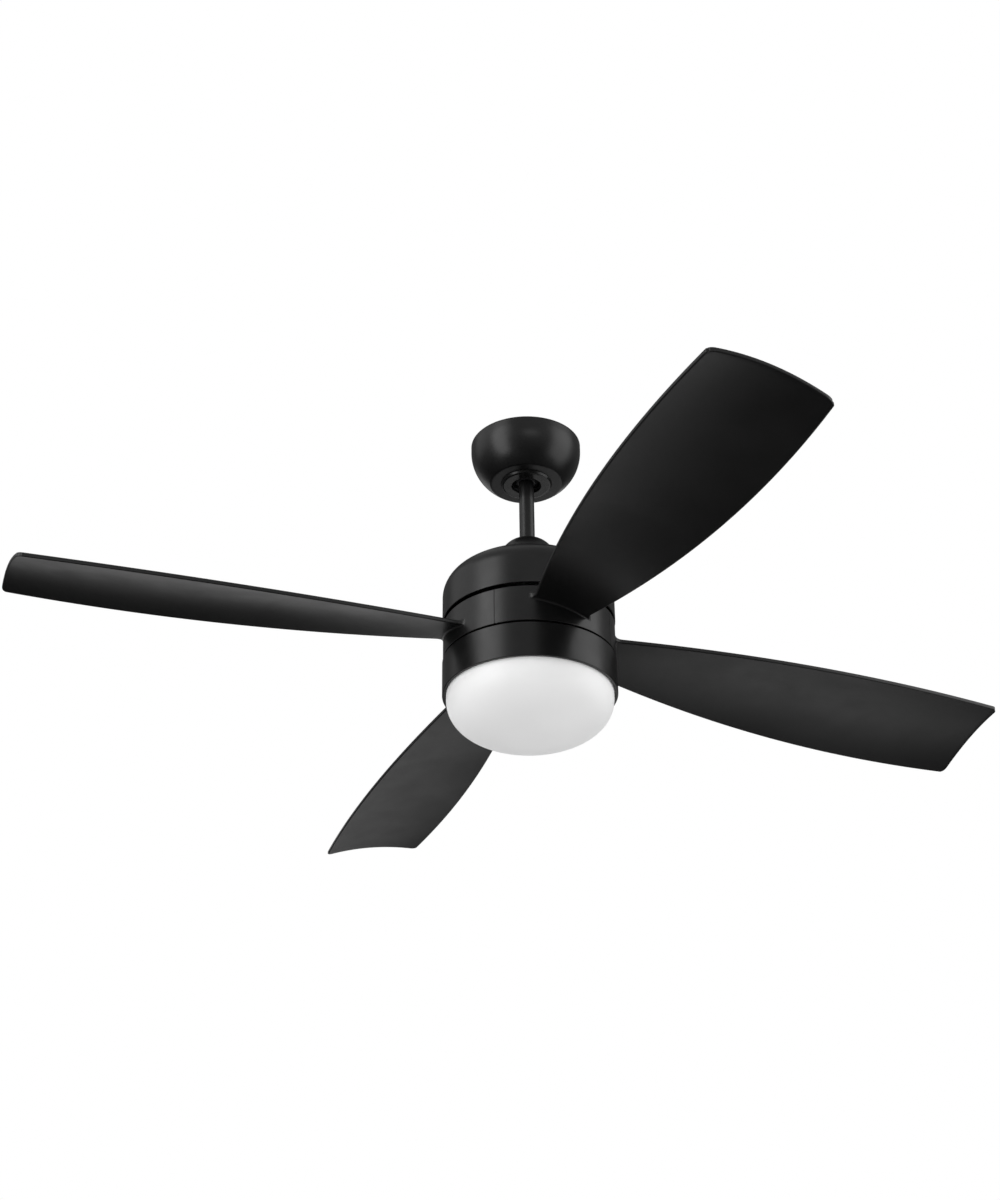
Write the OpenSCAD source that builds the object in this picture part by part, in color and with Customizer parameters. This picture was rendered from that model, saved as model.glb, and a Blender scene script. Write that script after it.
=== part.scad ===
// Four-blade ceiling fan with a light, hung from a ball on a short downrod.
// Millimetres, +Z up. The origin is the centre of the hanging bracket's top face, so the
// ceiling is the plane z = 0 and the whole fan hangs below it.

/* [Blades] */
// Radius swept by the blade tips
tip_radius = 686; // [640:1:740]
// Widest chord of a blade, seen from below
blade_chord = 162; // [130:1:175]
// Where along the blade the chord is widest
chord_peak = 520; // [440:1:560]
// Pitch of the blades, leading edge up
blade_pitch = 12.1; // [8:0.1:14]
// Thickness of a blade
blade_t = 6; // [4:0.5:7]
// Rise of the middle of a blade above the line from edge to edge
blade_camber = 9; // [0:0.5:12]
// Direction of the first blade, counter-clockwise from +X
blade_turn = 21.4; // [0:0.1:60]

/* [Drum] */
// Outer diameter of the motor housing and the light fitter
drum_d = 231.8; // [224:0.2:240]
// Height of the motor housing
housing_h = 72; // [70:1:90]
// Radius of the housing's shoulder
shoulder_r = 32; // [15:1:36]
// Height of the turning collar that the blades belong to
collar_h = 51; // [48:1:60]
// Open gap between the housing and the collar
upper_gap = 5; // [4:0.5:8]
// Open gap between the collar and the fitter
lower_gap = 3; // [2:0.5:6]
// Height of the light fitter
fitter_h = 48.5; // [44:0.5:60]

/* [Glass] */
// Outer diameter of the glass bowl
glass_d = 221.2; // [214:0.2:222]
// How far the bowl hangs below the fitter
glass_drop = 61.4; // [45:0.2:80]
// Thickness of the glass
glass_t = 3; // [2.5:0.1:4]

/* [Hanger] */
// Largest diameter of the canopy
canopy_d = 153.6; // [150:0.2:160]
// Distance from the ceiling to the canopy's flat bottom
canopy_z = 63; // [63:0.5:66]
// Outer diameter of the downrod
rod_d = 21; // [20.6:0.1:21.4]
// Distance from the ceiling to the top of the housing
housing_z = 217; // [217:1:300]
// Diameter of the hanger ball
ball_d = 50; // [50:0.2:50.4]

/* [Outlet box] */
// Distance between the two bracket slots, centre to centre
box_spacing = 88.9; // [88.9, 69.9]
// Width of a bracket slot
slot_w = 5.6; // [5:0.1:6.5]
// Length of a bracket slot, end to end
slot_l = 16; // [10:0.5:18]

/* [Hidden] */

$fn = 96;
eps = 0.01;
bore_gap = 0.05;      // radial clearance of a running fit
hole_gap = 0.1;       // radial clearance of a bolt or pin in its hole
wall = 1.5;           // pressed steel of the housing, the fitter and the canopy

drum_r = drum_d / 2;
collar_r = drum_r - 0.9;
rod_r = rod_d / 2;
rod_bore_r = rod_r - 2.2;
ball_r = ball_d / 2;
ball_z = -40;

// Levels, from the ceiling down
canopy_top = -1.2;
canopy_bottom = -canopy_z;
housing_top = -housing_z;
housing_bottom = housing_top - housing_h;
collar_top = housing_bottom - upper_gap;
collar_bottom = collar_top - collar_h;
fitter_top = collar_bottom - lower_gap;
fitter_bottom = fitter_top - fitter_h;
glass_bottom = fitter_bottom - glass_drop;

// Hanging bracket
plate_l = 112;
plate_w = 42;
plate_t = 2.5;
wire_hole_r = 14;
seat_r = 34;
seat_hole_r = 19.5;
seat_top = ball_z - 10;
seat_bottom = canopy_bottom + wall;
leg_y = 31.5;
leg_w = 30;
seat_slot_w = 24;
ball_gap = 0.3;       // ball to its seat
canopy_hole_r = 22;
canopy_screw_r = 27;

// Key pin that stops the ball turning in its seat
key_r = 3;
key_in = 19.6;
key_out = 34.3;
key_slot_in = 17.5;

// Downrod, coupling and motor shaft
rod_top = -18;
rod_bottom = housing_top + 19;
cross_pin_z = ball_z + 8;
coupling_r = 16;
coupling_top = housing_top + 53;
clevis_z = housing_top + 39;
coupling_screw_z = housing_top + 27;
flange_r = 40;
flange_top = housing_top - wall;
flange_t = 4;
housing_screw_r = 30;
shaft_r = 10;
shaft_bore_r = 7.5;
shaft_top = housing_top + 17;
shaft_bottom = collar_top - 20;

// Motor, measured down from the housing's top
rotor_top = housing_top - 9.5;
rotor_h = 52.5;
rotor_r = 70;
rotor_wall = 3.5;
rotor_split = rotor_top - 24.5;
bearing_h = 8;
bearing_out_r = 21;
ball_race_r = 15.05;
race_ball_r = 2;
stator_r = 60;
stator_top = rotor_top - 13.5;
stator_h = 24;
teeth = 18;
magnet_in_r = 61;

// Rotating carrier and collar
carrier_top = rotor_top - rotor_h;
carrier_r = 104;
carrier_t = 4;
carrier_hub_r = 44;
collar_flange_in = 72;
collar_flange_t = 4;
collar_wall = 3;
seam = 0.8;           // gap between two collar quarters
blade_screw_r = 88;

// Light kit
pan_r = 55;
pan_top = collar_top - 12;
pan_flange_r = 67;
pan_screw_r = 61;
driver_size = [64, 50, 20];
led_plate_r = 88;
led_plate_z = fitter_top - 8;
led_plate_t = 2;
board_t = 1.6;
spacer_r = 46;
lip_in_r = 111.7;
tab_z = fitter_bottom + 9.5;
tab_t = 2;
tab_in_r = 109.2;
lug_r = 111.2;
neck_top = fitter_bottom + 7.5;

// Blade shape
chord_fall = 5.33e-4; // how fast the chord narrows away from its widest place
edge_z = collar_top - 19.2; // height of the leading edge's underside at the collar
edge_fall = 0.0369;   // droop of the leading edge for each millimetre out
pitch_slope = tan(blade_pitch);
tip_bulge = 2.7;
tip_corner = 4;
root_flare = 9;
stations = 26;
rim_points = 9;       // points across a blade's underside

// ---------- shared shapes ----------

// Tube with its axis on Z, between two heights
module ring(r_out, r_in, low, high) {
    translate([0, 0, low])
        difference() {
            cylinder(r = r_out, h = high - low);
            translate([0, 0, -1])
                cylinder(r = r_in, h = high - low + 2);
        }
}

// Bar along X, from one x to another
module bar_x(r, from, to, z) {
    translate([from, 0, z])
        rotate([0, 90, 0])
            cylinder(r = r, h = to - from, $fn = 32);
}

// Bar along Y, from one y to another
module bar_y(r, from, to, z) {
    translate([0, from, z])
        rotate([-90, 0, 0])
            cylinder(r = r, h = to - from, $fn = 32);
}

// Pan-head screw standing on Z: the head's underside is at z, the shank goes up
module screw_up(z, shank_r, shank_l, head_r, head_h) {
    translate([0, 0, z])
        cylinder(r = shank_r, h = shank_l, $fn = 24);
    translate([0, 0, z - head_h])
        difference() {
            cylinder(r = head_r, h = head_h, $fn = 32);
            translate([-head_r * 0.7, -0.4, -1])
                cube([head_r * 1.4, 0.8, 1.7]);
            translate([-0.4, -head_r * 0.7, -1])
                cube([0.8, head_r * 1.4, 1.7]);
        }
}

// The same screw turned over: the head stands on z and the shank goes down
module screw_down(z, shank_r, shank_l, head_r, head_h) {
    translate([0, 0, z])
        rotate([180, 0, 0])
            screw_up(0, shank_r, shank_l, head_r, head_h);
}

// Copies of the children on a circle
module around(count, radius, first = 0) {
    for (i = [0:count - 1])
        rotate(first + i * 360 / count)
            translate([radius, 0, 0])
                children();
}

// Points of an arc about a centre
function arc(cx, cy, r, from, to, steps) =
    [for (i = [0:steps]) let (a = from + (to - from) * i / steps) [cx + r * cos(a), cy + r * sin(a)]];

// Quarter of a superellipse from its side (a = 0) to its bottom (a = 90)
function bowl_arc(r, top, bottom, power, steps) =
    [for (i = [0:steps]) let (a = 90 * i / steps)
        [r * pow(cos(a), 2 / power), top - (top - bottom) * pow(sin(a), 2 / power)]];

// Tube of eight sides along a list of points
function unit(v) = v / norm(v);
function along(path, i) =
    unit(path[min(i + 1, len(path) - 1)] - path[max(i - 1, 0)]);
function across(t) = unit(cross(t, abs(t[2]) < 0.9 ? [0, 0, 1] : [1, 0, 0]));
function frames(path, i = 0, last = undef) =
    i == len(path) ? [] :
    let (t = along(path, i),
         u = last == undef ? across(t) : unit(last - t * (last * t)))
    concat([[u, cross(t, u)]], frames(path, i + 1, u));
// One more point halfway between each two, on a smooth curve through them
function at(path, i) = path[max(0, min(len(path) - 1, i))];
function smooth(path) =
    [for (i = [0:len(path) - 1], half = [0, 1])
        if (i < len(path) - 1 || half == 0)
            half == 0 ? path[i]
            : (9 * (path[i] + path[i + 1]) - at(path, i - 1) - at(path, i + 2)) / 16];
module wire(path, r) {
    sides = 8;
    f = frames(path);
    last = len(path) - 1;
    points = [for (i = [0:last], k = [0:sides - 1])
        let (a = 360 * k / sides)
        path[i] + r * (cos(a) * f[i][0] + sin(a) * f[i][1])];
    walls = [for (i = [0:last - 1], k = [0:sides - 1])
        let (a = i * sides + k, b = i * sides + (k + 1) % sides)
        each [[a, a + sides, b], [b, a + sides, b + sides]]];
    polyhedron(points, concat(walls,
        [[for (k = [0:sides - 1]) k]],
        [[for (k = [sides - 1:-1:0]) last * sides + k]]));
}

// ---------- fixed to the ceiling ----------

module hanger_bracket() {
    color("silver")
        difference() {
            union() {
                translate([-plate_l / 2, -plate_w / 2, -plate_t])
                    cube([plate_l, plate_w, plate_t]);
                translate([-leg_w / 2, -seat_r, -plate_t])
                    cube([leg_w, 2 * seat_r, plate_t]);
                for (side = [-1, 1])
                    translate([-leg_w / 2, side < 0 ? -seat_r : leg_y, seat_bottom])
                        cube([leg_w, seat_r - leg_y, -seat_bottom]);
                ring(seat_r, seat_hole_r, seat_bottom, seat_top);
                translate([27.5, -8, seat_bottom])
                    cube([6.5, 16, ball_z + 8 - seat_bottom]);
            }
            translate([0, 0, ball_z])
                sphere(r = ball_r + ball_gap);
            translate([-seat_r - 1, -seat_slot_w / 2, seat_bottom - 1])
                cube([seat_r + 1, seat_slot_w, 20]);
            bar_x(key_r + bore_gap, 20, 40, ball_z);
            translate([0, 0, -plate_t - 1])
                cylinder(r = wire_hole_r, h = plate_t + 2);
            for (side = [-1, 1])
                translate([side * box_spacing / 2, 0, -plate_t - 1]) {
                    flat = slot_l - slot_w;
                    for (end = [-1, 1])
                        translate([end * flat / 2, 0, 0])
                            cylinder(d = slot_w, h = plate_t + 2, $fn = 32);
                    translate([-flat / 2, -slot_w / 2, 0])
                        cube([flat, slot_w, plate_t + 2]);
                }
            for (side = [-1, 1])
                translate([0, side * canopy_screw_r, seat_bottom - 1])
                    cylinder(r = 2 + hole_gap, h = 9, $fn = 24);
        }
}

// Bowl with a short straight side, one arc and a flat bottom
module canopy() {
    side = 9.3;
    bend = 64.5;
    centre_r = canopy_d / 2 - bend;
    centre_z = canopy_top - side;
    outer_a = asin((centre_z - canopy_bottom) / bend);
    inner_a = asin((centre_z - canopy_bottom - wall) / (bend - wall));
    color([0.07, 0.07, 0.075])
        difference() {
            rotate_extrude()
                polygon(concat(
                    [[canopy_hole_r, canopy_bottom + wall], [canopy_hole_r, canopy_bottom]],
                    [for (p = arc(centre_r, centre_z, bend, -outer_a, 0, 24)) p],
                    [[canopy_d / 2, canopy_top], [canopy_d / 2 - wall, canopy_top]],
                    arc(centre_r, centre_z, bend - wall, 0, -inner_a, 24)));
            for (side_y = [-1, 1])
                translate([0, side_y * canopy_screw_r, canopy_bottom - 1])
                    cylinder(r = 2 + 2 * hole_gap, h = 4, $fn = 24);
        }
}

module canopy_screws() {
    color("gray")
        for (side = [-1, 1])
            translate([0, side * canopy_screw_r, 0])
                screw_up(canopy_bottom, 2, 8, 3.6, 1.8);
}

// Trim ring that hides the canopy's screws and guides the rod
module canopy_ring() {
    hole_r = 20.6;
    base_r = 35.9;
    face_r = 32.9;
    depth = 3.4;
    skin = 1.2;
    low = canopy_bottom - depth;
    sleeve_top = canopy_bottom + wall - 0.1;
    color([0.06, 0.06, 0.065])
        rotate_extrude()
            polygon(concat(
                [[hole_r, sleeve_top], [hole_r, low]],
                arc(face_r, low + 1.6, 1.6, -90, -20, 8),
                [[base_r, canopy_bottom], [base_r - skin, canopy_bottom],
                 [face_r + 0.2, low + skin], [hole_r + skin, low + skin],
                 [hole_r + skin, sleeve_top]]));
}

// Remote-control receiver, taped to one leg of the bracket
module receiver() {
    size = [68, 22, 25];
    color([0.15, 0.15, 0.16])
        translate([0, seat_r, -5 - size[2]])
            difference() {
                translate([-size[0] / 2, 0, 0])
                    cube(size);
                for (i = [-3:3])
                    translate([i * 7 - 1, size[1] - 1, 6])
                        cube([2, 2, 13]);
            }
}

connector_at = [[-17, -49], [0, -52], [17, -49]];
module wire_connectors() {
    color("orange")
        for (p = connector_at)
            translate([p[0], p[1], -30])
                difference() {
                    union() {
                        cylinder(r1 = 3, r2 = 5.6, h = 15, $fn = 32);
                        translate([0, 0, 15])
                            cylinder(r = 6.2, h = 6, $fn = 32);
                    }
                    translate([0, 0, 12])
                        cylinder(r = 3.8, h = 10, $fn = 32);
                }
}

// House wires: down through the bracket, round its leg and into the connectors
supply_paths = [
    [[-6, -4, -1], [-8, -7, -5], [-14, -12, -9], [-19, -20, -10], [-20, -32, -8],
     [-19, -43, -6], [-17.8, -46.6, -8], [-17.4, -47.2, -13], [-17.4, -47.2, -18]],
    [[0, -8, -1], [4, -10, -5], [12, -14, -9], [19, -22, -10], [19, -33, -7],
     [10, -44, -5], [2, -49, -6.5], [0.4, -50.2, -12], [0.4, -50.2, -18]],
    [[7, -3, -1], [10, -6, -5], [18, -12, -9], [24, -22, -10], [25, -34, -8],
     [22, -44, -6], [18, -46.6, -8], [17.4, -47.2, -13], [17.4, -47.2, -18]]
];
module supply_wires() {
    color("white")
        for (path = supply_paths)
            wire(smooth(path), 1.3);
}

// Receiver leads: round the open side of the bracket to the connectors
receiver_paths = [for (k = [0:2])
    let (lift = k * 3.2, p = connector_at[2 - k])
    [[34, 40 + k * 6, -17], [41, 39 + k * 4.5, -18 + k * 2.2], [50, 31, -20 + lift], [56, 14, -22 + lift],
     [58, -6, -22 + lift], [53, -24, -18 + lift], [44, -37, -14 + lift], [33, -47 - k, -11 + lift],
     each k == 0 ? [[24, -51, -5.5]] : k == 1 ? [[22, -56, -5], [10, -55.5, -3.6]]
         : [[20, -60, -4.5], [0, -60.5, -4], [-11, -56, -4]],
     [p[0] + 0.6, p[1] - 2.6, -6.5], [p[0] - 0.4, p[1] - 2.1, -13], [p[0] - 0.4, p[1] - 2.1, -18]]];
module receiver_wires() {
    color("red")
        for (path = receiver_paths)
            wire(smooth(path), 1.1);
}

// ---------- the ball joint ----------

module key_pin() {
    color("silver")
        union() {
            bar_x(key_r, key_in, key_out + 1, ball_z);
            bar_x(4.5, key_out, key_out + 2.5, ball_z);
        }
}

module hanger_ball() {
    top_cut = ball_z + 16;
    bottom_cut = ball_z - 22;
    color([0.05, 0.05, 0.05])
        difference() {
            intersection() {
                translate([0, 0, ball_z])
                    sphere(r = ball_r);
                translate([0, 0, bottom_cut])
                    cylinder(r = ball_r + 5, h = top_cut - bottom_cut);
            }
            translate([0, 0, bottom_cut - 1])
                cylinder(r = rod_r + bore_gap, h = top_cut - bottom_cut + 2);
            translate([key_slot_in, -key_r - 0.3, ball_z - 10])
                cube([ball_r, 2 * key_r + 0.6, 20]);
            bar_y(3 + hole_gap, -ball_r - 1, ball_r + 1, cross_pin_z);
            bar_x(2.5 + hole_gap, -ball_r - 1, 0, cross_pin_z);
        }
}

module ball_cross_pin() {
    color("silver")
        bar_y(3, -22, 22, cross_pin_z);
}

module ball_set_screw() {
    color("dimgray")
        difference() {
            bar_x(2.5, -22.5, -rod_r - 0.05, cross_pin_z);
            bar_x(1.2, -24, -19.5, cross_pin_z);
        }
}

module downrod() {
    color([0.06, 0.06, 0.065])
        difference() {
            ring(rod_r, rod_bore_r, rod_bottom, rod_top);
            bar_y(3 + hole_gap, -15, 15, cross_pin_z);
            bar_y(3 + hole_gap, -15, 15, clevis_z);
        }
}

// Four leads run the whole length of the rod and the hollow shaft
wire_top = rod_top + 3;
wire_bottom = pan_top - 14;
lead_r = 1.25;
lead_at = [[5, 1.5], [5, -1.5], [-5, 1.5], [-5, -1.5]];
module lead_wires() {
    color("ivory")
        for (p = lead_at)
            translate([p[0], p[1], wire_bottom])
                cylinder(r = lead_r, h = wire_top - wire_bottom, $fn = 24);
}

module lead_plug() {
    color("white")
        union() {
            translate([-7.5, -4.5, wire_top])
                cube([15, 9, 5]);
            translate([-6, -3.5, wire_top + 5])
                cube([12, 7, 4]);
        }
}

// ---------- coupling, shaft and stator ----------

module motor_coupling() {
    color([0.2, 0.2, 0.2])
        difference() {
            union() {
                translate([0, 0, flange_top])
                    cylinder(r = coupling_r, h = coupling_top - flange_top);
                translate([0, 0, flange_top - flange_t])
                    cylinder(r = flange_r, h = flange_t);
            }
            translate([0, 0, rod_bottom])
                cylinder(r = rod_r + bore_gap, h = 60);
            translate([0, 0, flange_top - flange_t - 1])
                cylinder(r = shaft_r, h = 60);
            bar_y(3 + hole_gap, -20, 20, clevis_z);
            bar_x(3 + hole_gap, -20, 20, coupling_screw_z);
            around(3, housing_screw_r, 90)
                translate([0, 0, flange_top - flange_t - 1])
                    cylinder(r = 2 + hole_gap, h = flange_t + 2, $fn = 24);
        }
}

module clevis_pin() {
    color("silver")
        difference() {
            union() {
                bar_y(3, -20, 19, clevis_z);
                bar_y(4.5, 18.5, 20.5, clevis_z);
            }
            translate([0, -18.2, clevis_z - 5])
                cylinder(r = 1 + hole_gap, h = 10, $fn = 24);
        }
}

// Spring clip through the clevis pin: a straight leg, a bend and a side leg
module hitch_pin() {
    leg = 11;
    bend_r = 3.2;
    color("gold")
        translate([0, -18.2, clevis_z]) {
            translate([0, 0, -leg])
                cylinder(r = 1, h = leg + 4, $fn = 24);
            translate([-bend_r, 0, -leg])
                rotate([90, 0, 0])
                    rotate([0, 0, 180])
                        rotate_extrude(angle = 180)
                            translate([bend_r, 0])
                                circle(r = 1, $fn = 24);
            translate([-2 * bend_r, 0, -leg])
                cylinder(r = 1, h = leg - 1, $fn = 24);
        }
}

module coupling_screws() {
    color("gray")
        for (side = [0, 180])
            rotate(side)
                difference() {
                    union() {
                        bar_x(3, rod_r + bore_gap, 17, coupling_screw_z);
                        bar_x(4.5, coupling_r, coupling_r + 4, coupling_screw_z);
                    }
                    translate([coupling_r + 3, -4, coupling_screw_z - 0.5])
                        cube([4, 8, 1]);
                }
}

module motor_shaft() {
    color("lightgray")
        ring(shaft_r, shaft_bore_r, shaft_bottom, shaft_top);
}

// Laminated core: a hub and T-shaped teeth
module stator_core() {
    color("slategray")
        difference() {
            union() {
                ring(30, shaft_r, stator_top - stator_h, stator_top);
                around(teeth, 0)
                    translate([28, -2.5, stator_top - stator_h])
                        cube([28.5, 5, stator_h]);
                intersection() {
                    ring(stator_r, stator_r - 5, stator_top - stator_h, stator_top);
                    around(teeth, 0)
                        translate([45, -8.4, stator_top - stator_h])
                            cube([20, 16.8, stator_h]);
                }
            }
            ring(shaft_r + eps, 0.5, stator_top - stator_h - 1, stator_top + 1);
        }
}

// One copper coil round each tooth
module stator_windings() {
    head = 6;
    color("chocolate")
        around(teeth, 0)
            difference() {
                translate([33, -4.6, stator_top - stator_h - head])
                    cube([20.5, 9.2, stator_h + 2 * head]);
                translate([32, -2.6, stator_top - stator_h - 0.1])
                    cube([23, 5.2, stator_h + 0.2]);
            }
}

bearing_tops = [rotor_top - 1.5, rotor_top - rotor_h + 2 + bearing_h];
module bearing_inner_rings() {
    color("silver")
        for (top = bearing_tops)
            translate([0, 0, top - bearing_h])
                difference() {
                    cylinder(r = 13.4, h = bearing_h);
                    translate([0, 0, -1])
                        cylinder(r = shaft_r, h = bearing_h + 2);
                    translate([0, 0, bearing_h / 2])
                        rotate_extrude()
                            translate([ball_race_r, 0])
                                circle(r = race_ball_r + bore_gap, $fn = 32);
                }
}

// ---------- motor housing ----------

module upper_housing() {
    r = drum_r;
    color([0.07, 0.07, 0.075])
        difference() {
            rotate_extrude()
                polygon(concat(
                    [[coupling_r + 1.5, housing_top - wall], [coupling_r + 1.5, housing_top]],
                    arc(r - shoulder_r, housing_top - shoulder_r, shoulder_r, 90, 0, 24),
                    [[r, housing_bottom], [r - wall, housing_bottom]],
                    arc(r - shoulder_r, housing_top - shoulder_r, shoulder_r - wall, 0, 90, 24)));
            around(3, housing_screw_r, 90)
                translate([0, 0, housing_top - wall - 1])
                    cylinder(r = 2 + 2 * hole_gap, h = wall + 2, $fn = 24);
        }
}

module housing_screws() {
    color("gray")
        around(3, housing_screw_r, 90)
            screw_down(housing_top, 2, 6, 3.8, 2.4);
}

// Bell that covers the coupling and slides up the rod
module yoke_cover() {
    base_r = 45;
    top_r = rod_r + 0.7;
    rise = 50.6;
    foot = 6.9;
    skin = 1.4;
    low = housing_top + 0.3;
    color([0.06, 0.06, 0.065])
        rotate_extrude()
            polygon(concat(
                [[base_r, low]],
                [for (i = [0:20]) let (a = 90 * i / 20)
                    [top_r + (base_r - top_r) * cos(a), low + foot + rise * sin(a)]],
                [for (i = [20:-1:0]) let (a = 90 * i / 20)
                    [top_r + (base_r - top_r - skin) * cos(a), low + foot + (rise - skin) * sin(a)]],
                [[base_r - skin, low]]));
}

// ---------- rotor ----------

// Half of the motor's outer rotor: a disc, a rim and a bearing seat, opening downwards
module rotor_half(depth, hub_h) {
    ear_r = rotor_r + 4;
    difference() {
        union() {
            ring(rotor_r, bearing_out_r, -3, 0);
            ring(rotor_r, rotor_r - rotor_wall, -depth, 0);
            ring(bearing_out_r + 4, bearing_out_r, -hub_h, 0);
            around(6, ear_r, 30)
                translate([0, 0, -depth])
                    cylinder(r = 5.5, h = 3, $fn = 32);
        }
        around(6, ear_r, 30)
            translate([0, 0, -depth - 1])
                cylinder(r = 2 + hole_gap, h = 5, $fn = 24);
        translate([0, 0, -depth - 1])
            cylinder(r = rotor_r - rotor_wall, h = depth - 2.01 - (depth - hub_h));
        around(6, 46)
            translate([0, 0, -4])
                cylinder(r = 8, h = 5, $fn = 32);
    }
}

module rotor_upper_shell() {
    color("darkgray")
        translate([0, 0, rotor_top])
            rotor_half(rotor_top - rotor_split, 10.5);
}

module rotor_lower_shell() {
    color("darkgray")
        translate([0, 0, carrier_top])
            mirror([0, 0, 1])
                rotor_half(rotor_split - carrier_top, 10.5);
}

module rotor_magnets() {
    poles = 20;
    color("black")
        for (i = [0:poles - 1])
            rotate(i * 360 / poles)
                translate([0, 0, stator_top - stator_h - 1])
                    rotate_extrude(angle = 360 / poles - 1)
                        translate([magnet_in_r, 0])
                            square([rotor_r - rotor_wall - magnet_in_r, stator_h + 2]);
}

module bearing_outer_rings() {
    color("silver")
        for (top = bearing_tops)
            translate([0, 0, top - bearing_h])
                difference() {
                    cylinder(r = bearing_out_r, h = bearing_h);
                    translate([0, 0, -1])
                        cylinder(r = 16.7, h = bearing_h + 2);
                    translate([0, 0, bearing_h / 2])
                        rotate_extrude()
                            translate([ball_race_r, 0])
                                circle(r = race_ball_r, $fn = 32);
                }
}

module bearing_balls() {
    color("white")
        for (top = bearing_tops)
            translate([0, 0, top - bearing_h / 2])
                around(9, ball_race_r)
                    sphere(r = race_ball_r, $fn = 24);
}

module rotor_screws() {
    color("gray")
        around(6, rotor_r + 4, 30)
            screw_down(rotor_split + 3, 2, 5.8, 3.6, 2.2);
}

// Cast carrier that the blades are screwed to
module flywheel() {
    color("darkgray")
        difference() {
            union() {
                ring(carrier_hub_r, 26, collar_top, carrier_top);
                ring(carrier_r, 26, collar_top, collar_top + carrier_t);
            }
            around(8, 66, 22.5)
                translate([0, 0, collar_top - 1])
                    cylinder(r = 12, h = carrier_t + 2, $fn = 48);
            around(4, 35)
                translate([0, 0, collar_top - 1])
                    cylinder(r = 2.5 + hole_gap, h = 30, $fn = 24);
            for (b = [0:3], a = [-26, 0, 26])
                rotate(blade_turn + 90 * b + a)
                    translate([blade_screw_r, 0, collar_top - 1])
                        cylinder(r = 2.5 + hole_gap, h = carrier_t + 2, $fn = 24);
        }
}

module flywheel_screws() {
    color("gray")
        around(4, 35)
            screw_up(collar_top, 2.5, carrier_top - collar_top, 4.4, 2.8);
}

// ---------- blades ----------

function chord(x) = blade_chord - chord_fall * pow(x - chord_peak, 2);
function flare(x) = root_flare * exp(-(x - collar_r + 3) / 7);
function half_chord(x) = chord(x) / 2 + flare(x);
// Underside of the blade; v runs from -1 at the leading edge to 1 at the trailing edge
function rise(x) = blade_camber * min(1, (x - 100) / 260);
function low_z(x, v) =
    edge_z - edge_fall * (x - collar_r) - pitch_slope * (chord(x) / 2 + v * half_chord(x))
    + rise(x) * (1 - v * v);
function edge_round(v, size) =
    let (u = (abs(v) - 1 + size) / size) u > 0 ? 1 - sqrt(max(0, 1 - u * u)) : 0;
tip_x = sqrt(pow(tip_radius, 2) - pow(chord(tip_radius) / 2, 2));
function tip_line(v) = tip_x + tip_bulge * (1 - v * v) - tip_corner * edge_round(v, 0.1);
function root_line(v) = sqrt(pow(collar_r - 1.5, 2) - pow(v * half_chord(collar_r), 2));
function blade_x(s, v) = root_line(v) + s * (tip_line(v) - root_line(v));
// Places across the chord, closer together at the edges
function cross_v(k) = -cos(180 * k / (rim_points - 1));

module blade_body() {
    ring_points = 2 * rim_points;
    // Underside from leading to trailing edge, then the top back again
    function blade_point(s, k) =
        let (low = k < rim_points,
             v = cross_v(low ? k : ring_points - 1 - k),
             x = blade_x(s, v))
        [x, v * half_chord(x), low_z(x, v) + (low ? 0 : blade_t + 0.25 * flare(x))
            + (low ? 0.8 : -0.8) * (abs(v) > 0.99 ? 1 : 0)];
    s_at = [for (i = [0:stations - 1]) let (t = i / (stations - 1)) pow(t, 1.25)];
    points = [for (s = s_at, k = [0:ring_points - 1]) blade_point(s, k)];
    n = ring_points;
    walls = [for (i = [0:stations - 2], k = [0:n - 1])
        let (a = i * n + k, b = i * n + (k + 1) % n)
        each [[a, a + n, b], [b, a + n, b + n]]];
    strip = [for (k = [0:rim_points - 2])
        let (a = k, b = k + 1, c = n - 1 - k, d = n - 2 - k)
        each [[a, b, c], [b, d, c]]];
    cap = (stations - 1) * n;
    root_end = strip;
    tip_end = [for (f = strip) [f[0] + cap, f[2] + cap, f[1] + cap]];
    polyhedron(points, concat(walls, root_end, tip_end));
}

// One moulding: a blade and its quarter of the collar
module blade(number) {
    seam_a = seam / collar_r * 180 / PI;
    color([0.05, 0.05, 0.05])
        rotate(blade_turn + 90 * (number - 1))
            difference() {
                union() {
                    rotate(-45 + seam_a / 2)
                        rotate_extrude(angle = 90 - seam_a)
                            polygon([
                                [collar_flange_in, collar_top], [collar_r, collar_top],
                                [collar_r, collar_bottom], [collar_r - collar_wall, collar_bottom],
                                [collar_r - collar_wall, collar_top - collar_flange_t],
                                [collar_flange_in, collar_top - collar_flange_t]]);
                    blade_body();
                }
                for (a = [-26, 0, 26])
                    rotate(a)
                        translate([blade_screw_r, 0, collar_top - collar_flange_t - 1])
                            cylinder(r = 2.5 + 2 * hole_gap, h = collar_flange_t + 2, $fn = 24);
            }
}

module blade_1() { blade(1); }
module blade_2() { blade(2); }
module blade_3() { blade(3); }
module blade_4() { blade(4); }

module blade_screws() {
    color("gray")
        for (b = [0:3], a = [-26, 0, 26])
            rotate(blade_turn + 90 * b + a)
                translate([blade_screw_r, 0, 0])
                    screw_up(collar_top - collar_flange_t, 2.5, 8, 4.6, 2.8);
}

// ---------- light kit ----------

// Steel pan on the end of the shaft that carries the light
module light_pan() {
    skin = 2;
    color("silver")
        difference() {
            union() {
                ring(18, shaft_r, shaft_bottom, pan_top + 4);
                ring(pan_r, shaft_r, pan_top - skin, pan_top);
                ring(pan_r, pan_r - skin, fitter_top, pan_top);
                ring(pan_flange_r, pan_r - skin, fitter_top, fitter_top + skin);
            }
            around(3, pan_screw_r, 30)
                translate([0, 0, fitter_top - 1])
                    cylinder(r = 2 + hole_gap, h = skin + 2, $fn = 24);
        }
}

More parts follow.
